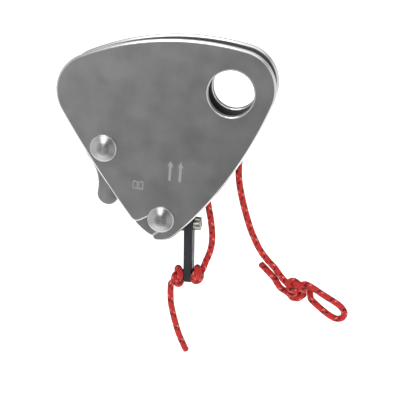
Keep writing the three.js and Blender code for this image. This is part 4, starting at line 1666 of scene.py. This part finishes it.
    def build(self) -> None:
        left, right = self.left_stopper(), self.right_stopper()
        towed, loop_start, loop_end = self.tow_knot()
        tail = smooth_route(self.tail_route)
        guide = self.over_guide()
        lift = smooth_route([*self.lift_route, *guide, *self.tow_route])
        tail = tail[: nearest_index(tail, left[0])]
        lift = lift[nearest_index(lift, right[-1]) + 1:]
        cut = nearest_index(lift, towed[0])
        whole = np.vstack([tail, left, right[1:], lift[:cut], towed])
        tie_in = len(tail) + len(left) + len(right) - 1 + cut
        line = resampled(whole, self.step)
        cord = Strand.along(line)
        tow_in, loop_in, loop_out = (
            nearest_index(line, whole[tie_in + k]) for k in (0, loop_start, loop_end)
        )
        tow_in += 4
        tree = BraidTree().build()
        tail_end = nearest_index(line, left[9])
        knots_end = nearest_index(line, right[-9])
        top = nearest_index(line, (self.guide[0], 0.0, self.guide[1] + self.wrap))
        last = len(line) - 1
        stub_in = loop_out + nearest_index(line[loop_out:], towed[-12])
        cuts = {
            "tail_cord": (0, tail_end),
            "arm_knots_cord": (tail_end, knots_end),
            "lift_strand": (knots_end, top),
            "tow_strand": (top, tow_in),
            "tow_knot_cord": (tow_in, loop_in),
            "hand_loop_strand": (loop_in, loop_out),
            "tow_knot_return": (loop_out, stub_in),
            "stub_strand": (stub_in, last),
        }
        strands = {name: cord.part(*ends) for name, ends in cuts.items()}
        pieces = {name: self.braid(name, strand, tree) for name, strand in strands.items()}
        tail_tip = self.sealed_end("tail_sealed_end", strands["tail_cord"], True)
        stub_tip = self.sealed_end("stub_sealed_end", strands["stub_strand"], False)
        slot, cam, chassis = Slot.CORD, Body.CAM, Body.CHASSIS
        settle(pieces["tail_cord"], cam, slot, "cord_tail")
        settle(pieces["arm_knots_cord"], cam, slot, "arm_knot_left", "arm_knot_right", "cord_in_arm")
        settle(tail_tip, cam, slot)
        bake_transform(pieces["lift_strand"])
        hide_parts("lift_cord")
        settle(pieces["tow_strand"], chassis, slot, "tow_cord")
        settle(pieces["tow_knot_cord"], chassis, slot, "tow_knot")
        settle(pieces["tow_knot_return"], chassis, slot)
        settle(pieces["hand_loop_strand"], chassis, slot, "hand_loop")
        settle(pieces["stub_strand"], chassis, slot, "loop_tail")
        settle(stub_tip, chassis, slot)


# ---- stage ---------------------------------------------------------------------------------------------


@dataclass
class Studio:
    """The camera, the floor and the soft light.

    Attributes:
        azimuth: Where the camera stands, in degrees to the right of the front.
        elevation: How high it stands, in degrees.
        roll: How far it is turned about its own line of sight, in degrees.
        distance: How far it is from its target, in metres.
        target: What it looks at, in metres.
        lens: Its focal length in millimetres.
        floor_height: Where the floor is, in metres.
        base_level: How bright the room is away from its lamps.
        lamps: Each soft source as azimuth, elevation, inner and outer half angle in degrees, and level.
        panel_place: Where the area light is, in metres.
        panel_power: Its power in watts.
        panel_size: Its diameter in metres.
    """

    azimuth: float = 7.7
    elevation: float = 20.9
    roll: float = 4.9
    distance: float = 0.391
    target: Point3 = (-0.0116, 0.0, -0.0583)
    lens: float = 69.5
    floor_height: float = -0.62
    base_level: float = 0.165
    lamps: tuple[tuple[float, float, float, float, float], ...] = (
        (0.0, 78.0, 22.0, 50.0, 1.05),
        (-75.0, -5.0, 15.0, 70.0, 0.62),
        (-13.0, 15.0, 5.0, 15.0, 2.8),
        (180.0, 20.0, 20.0, 80.0, 0.5),
        (180.0, -60.0, 40.0, 75.0, 0.9),
        (-20.0, -60.0, 8.0, 34.0, 0.6),
        (75.0, -10.0, 10.0, 70.0, 0.8),
    )
    panel_place: Point3 = (-0.3, -0.25, 1.1)
    panel_power: float = 2.5
    panel_size: float = 0.7

    def camera(self) -> None:
        """Makes the scene's camera."""
        a, e, r = (math.radians(v) for v in (self.azimuth, self.elevation, self.roll))
        back = Vector((math.sin(a) * math.cos(e), -math.cos(a) * math.cos(e), math.sin(e)))
        right = Vector((math.cos(a), math.sin(a), 0.0))
        up = back.cross(right)
        turned_right = right * math.cos(r) + up * math.sin(r)
        turned_up = up * math.cos(r) - right * math.sin(r)
        data = bpy.data.cameras.new("studio_camera")
        data.lens = self.lens
        data.sensor_width = 36.0
        data.clip_start = 0.01
        camera = bpy.data.objects.new("studio_camera", data)
        turn = Matrix((turned_right, turned_up, back)).transposed().to_4x4()
        camera.matrix_world = Matrix.Translation(Vector(self.target) + back * self.distance) @ turn
        bpy.context.scene.collection.objects.link(camera)
        bpy.context.scene.camera = camera

    def floor(self) -> None:
        """A pale floor well below the hanging part, which steel doesn't mirror."""
        shape = bmesh.new()
        bmesh.ops.create_circle(shape, cap_ends=True, segments=96, radius=14.0)
        mesh = bpy.data.meshes.new("pale_floor")
        shape.to_mesh(mesh)
        shape.free()
        mesh.transform(Matrix.Translation((0, 0, self.floor_height)))
        g = Graph("pale_floor")
        g.set(Base_Color=(0.9, 0.9, 0.9, 1.0), Roughness=0.9, Emission_Color=(1.0, 1.0, 1.0, 1.0))
        g.set(Emission_Strength=0.62)
        floor = object_from("pale_floor", mesh, g.material)
        floor.visible_glossy = False

    def world(self) -> None:
        """Soft light from all round: bright above, grey in front and low down, lighter on the left."""
        world = bpy.data.worlds.new("soft_studio")
        bpy.context.scene.world = world
        world.use_nodes = True
        world.node_tree.nodes.clear()
        w = NodeWriter(world.node_tree)
        where = w.add("ShaderNodeTexCoord").outputs["Generated"]
        total: Any = self.base_level
        for azimuth, elevation, inner, outer, level in self.lamps:
            a, e, near, far = (math.radians(v) for v in (azimuth, elevation, inner, outer))
            toward = (math.sin(a) * math.cos(e), -math.cos(a) * math.cos(e), math.sin(e))
            limits = {"From Min": math.cos(far), "From Max": math.cos(near), "To Min": 0.0, "To Max": level}
            towards = {"Value": w.vector("DOT_PRODUCT", where, toward), **limits}
            patch = w.add("ShaderNodeMapRange", towards, interpolation_type="SMOOTHSTEP")
            total = w.math("ADD", total, patch.outputs["Result"])
        lit = w.add("ShaderNodeBackground", {"Color": total}).outputs[0]
        backdrop = w.add("ShaderNodeBackground", {"Color": (1.0, 1.0, 1.0, 1.0)}).outputs[0]
        seen = w.add("ShaderNodeLightPath").outputs["Is Camera Ray"]
        mix = w.add("ShaderNodeMixShader", {0: seen, 1: lit, 2: backdrop})
        w.add("ShaderNodeOutputWorld", {"Surface": mix.outputs[0]})

    def key(self) -> None:
        """A soft panel above and in front of the part."""
        data = bpy.data.lights.new("key_panel", "AREA")
        data.shape = "DISK"
        data.size = self.panel_size
        data.energy = self.panel_power
        lamp = bpy.data.objects.new("key_panel", data)
        lamp.location = self.panel_place
        aim = Vector(self.target) - Vector(self.panel_place)
        lamp.rotation_euler = aim.to_track_quat("-Z", "Y").to_euler()
        bpy.context.scene.collection.objects.link(lamp)

    def build(self) -> None:
        """Sets the stage and the way colours are shown."""
        bpy.context.scene.view_settings.view_transform = "Standard"
        self.floor()
        self.world()
        self.key()


def main() -> None:
    """Builds the camera and the cord, then the steel, then the stage."""
    logging.basicConfig(level=logging.INFO, format="%(name)s %(message)s")
    studio = Studio()
    studio.camera()
    finishes = Finishes()
    ReleaseCord(finishes).build()
    SidePlates(finishes).build()
    PivotRivets(finishes).build()
    InnerWorks(finishes).build()
    studio.build()
    bpy.context.view_layer.update()


if __name__ == "__main__":
    main()
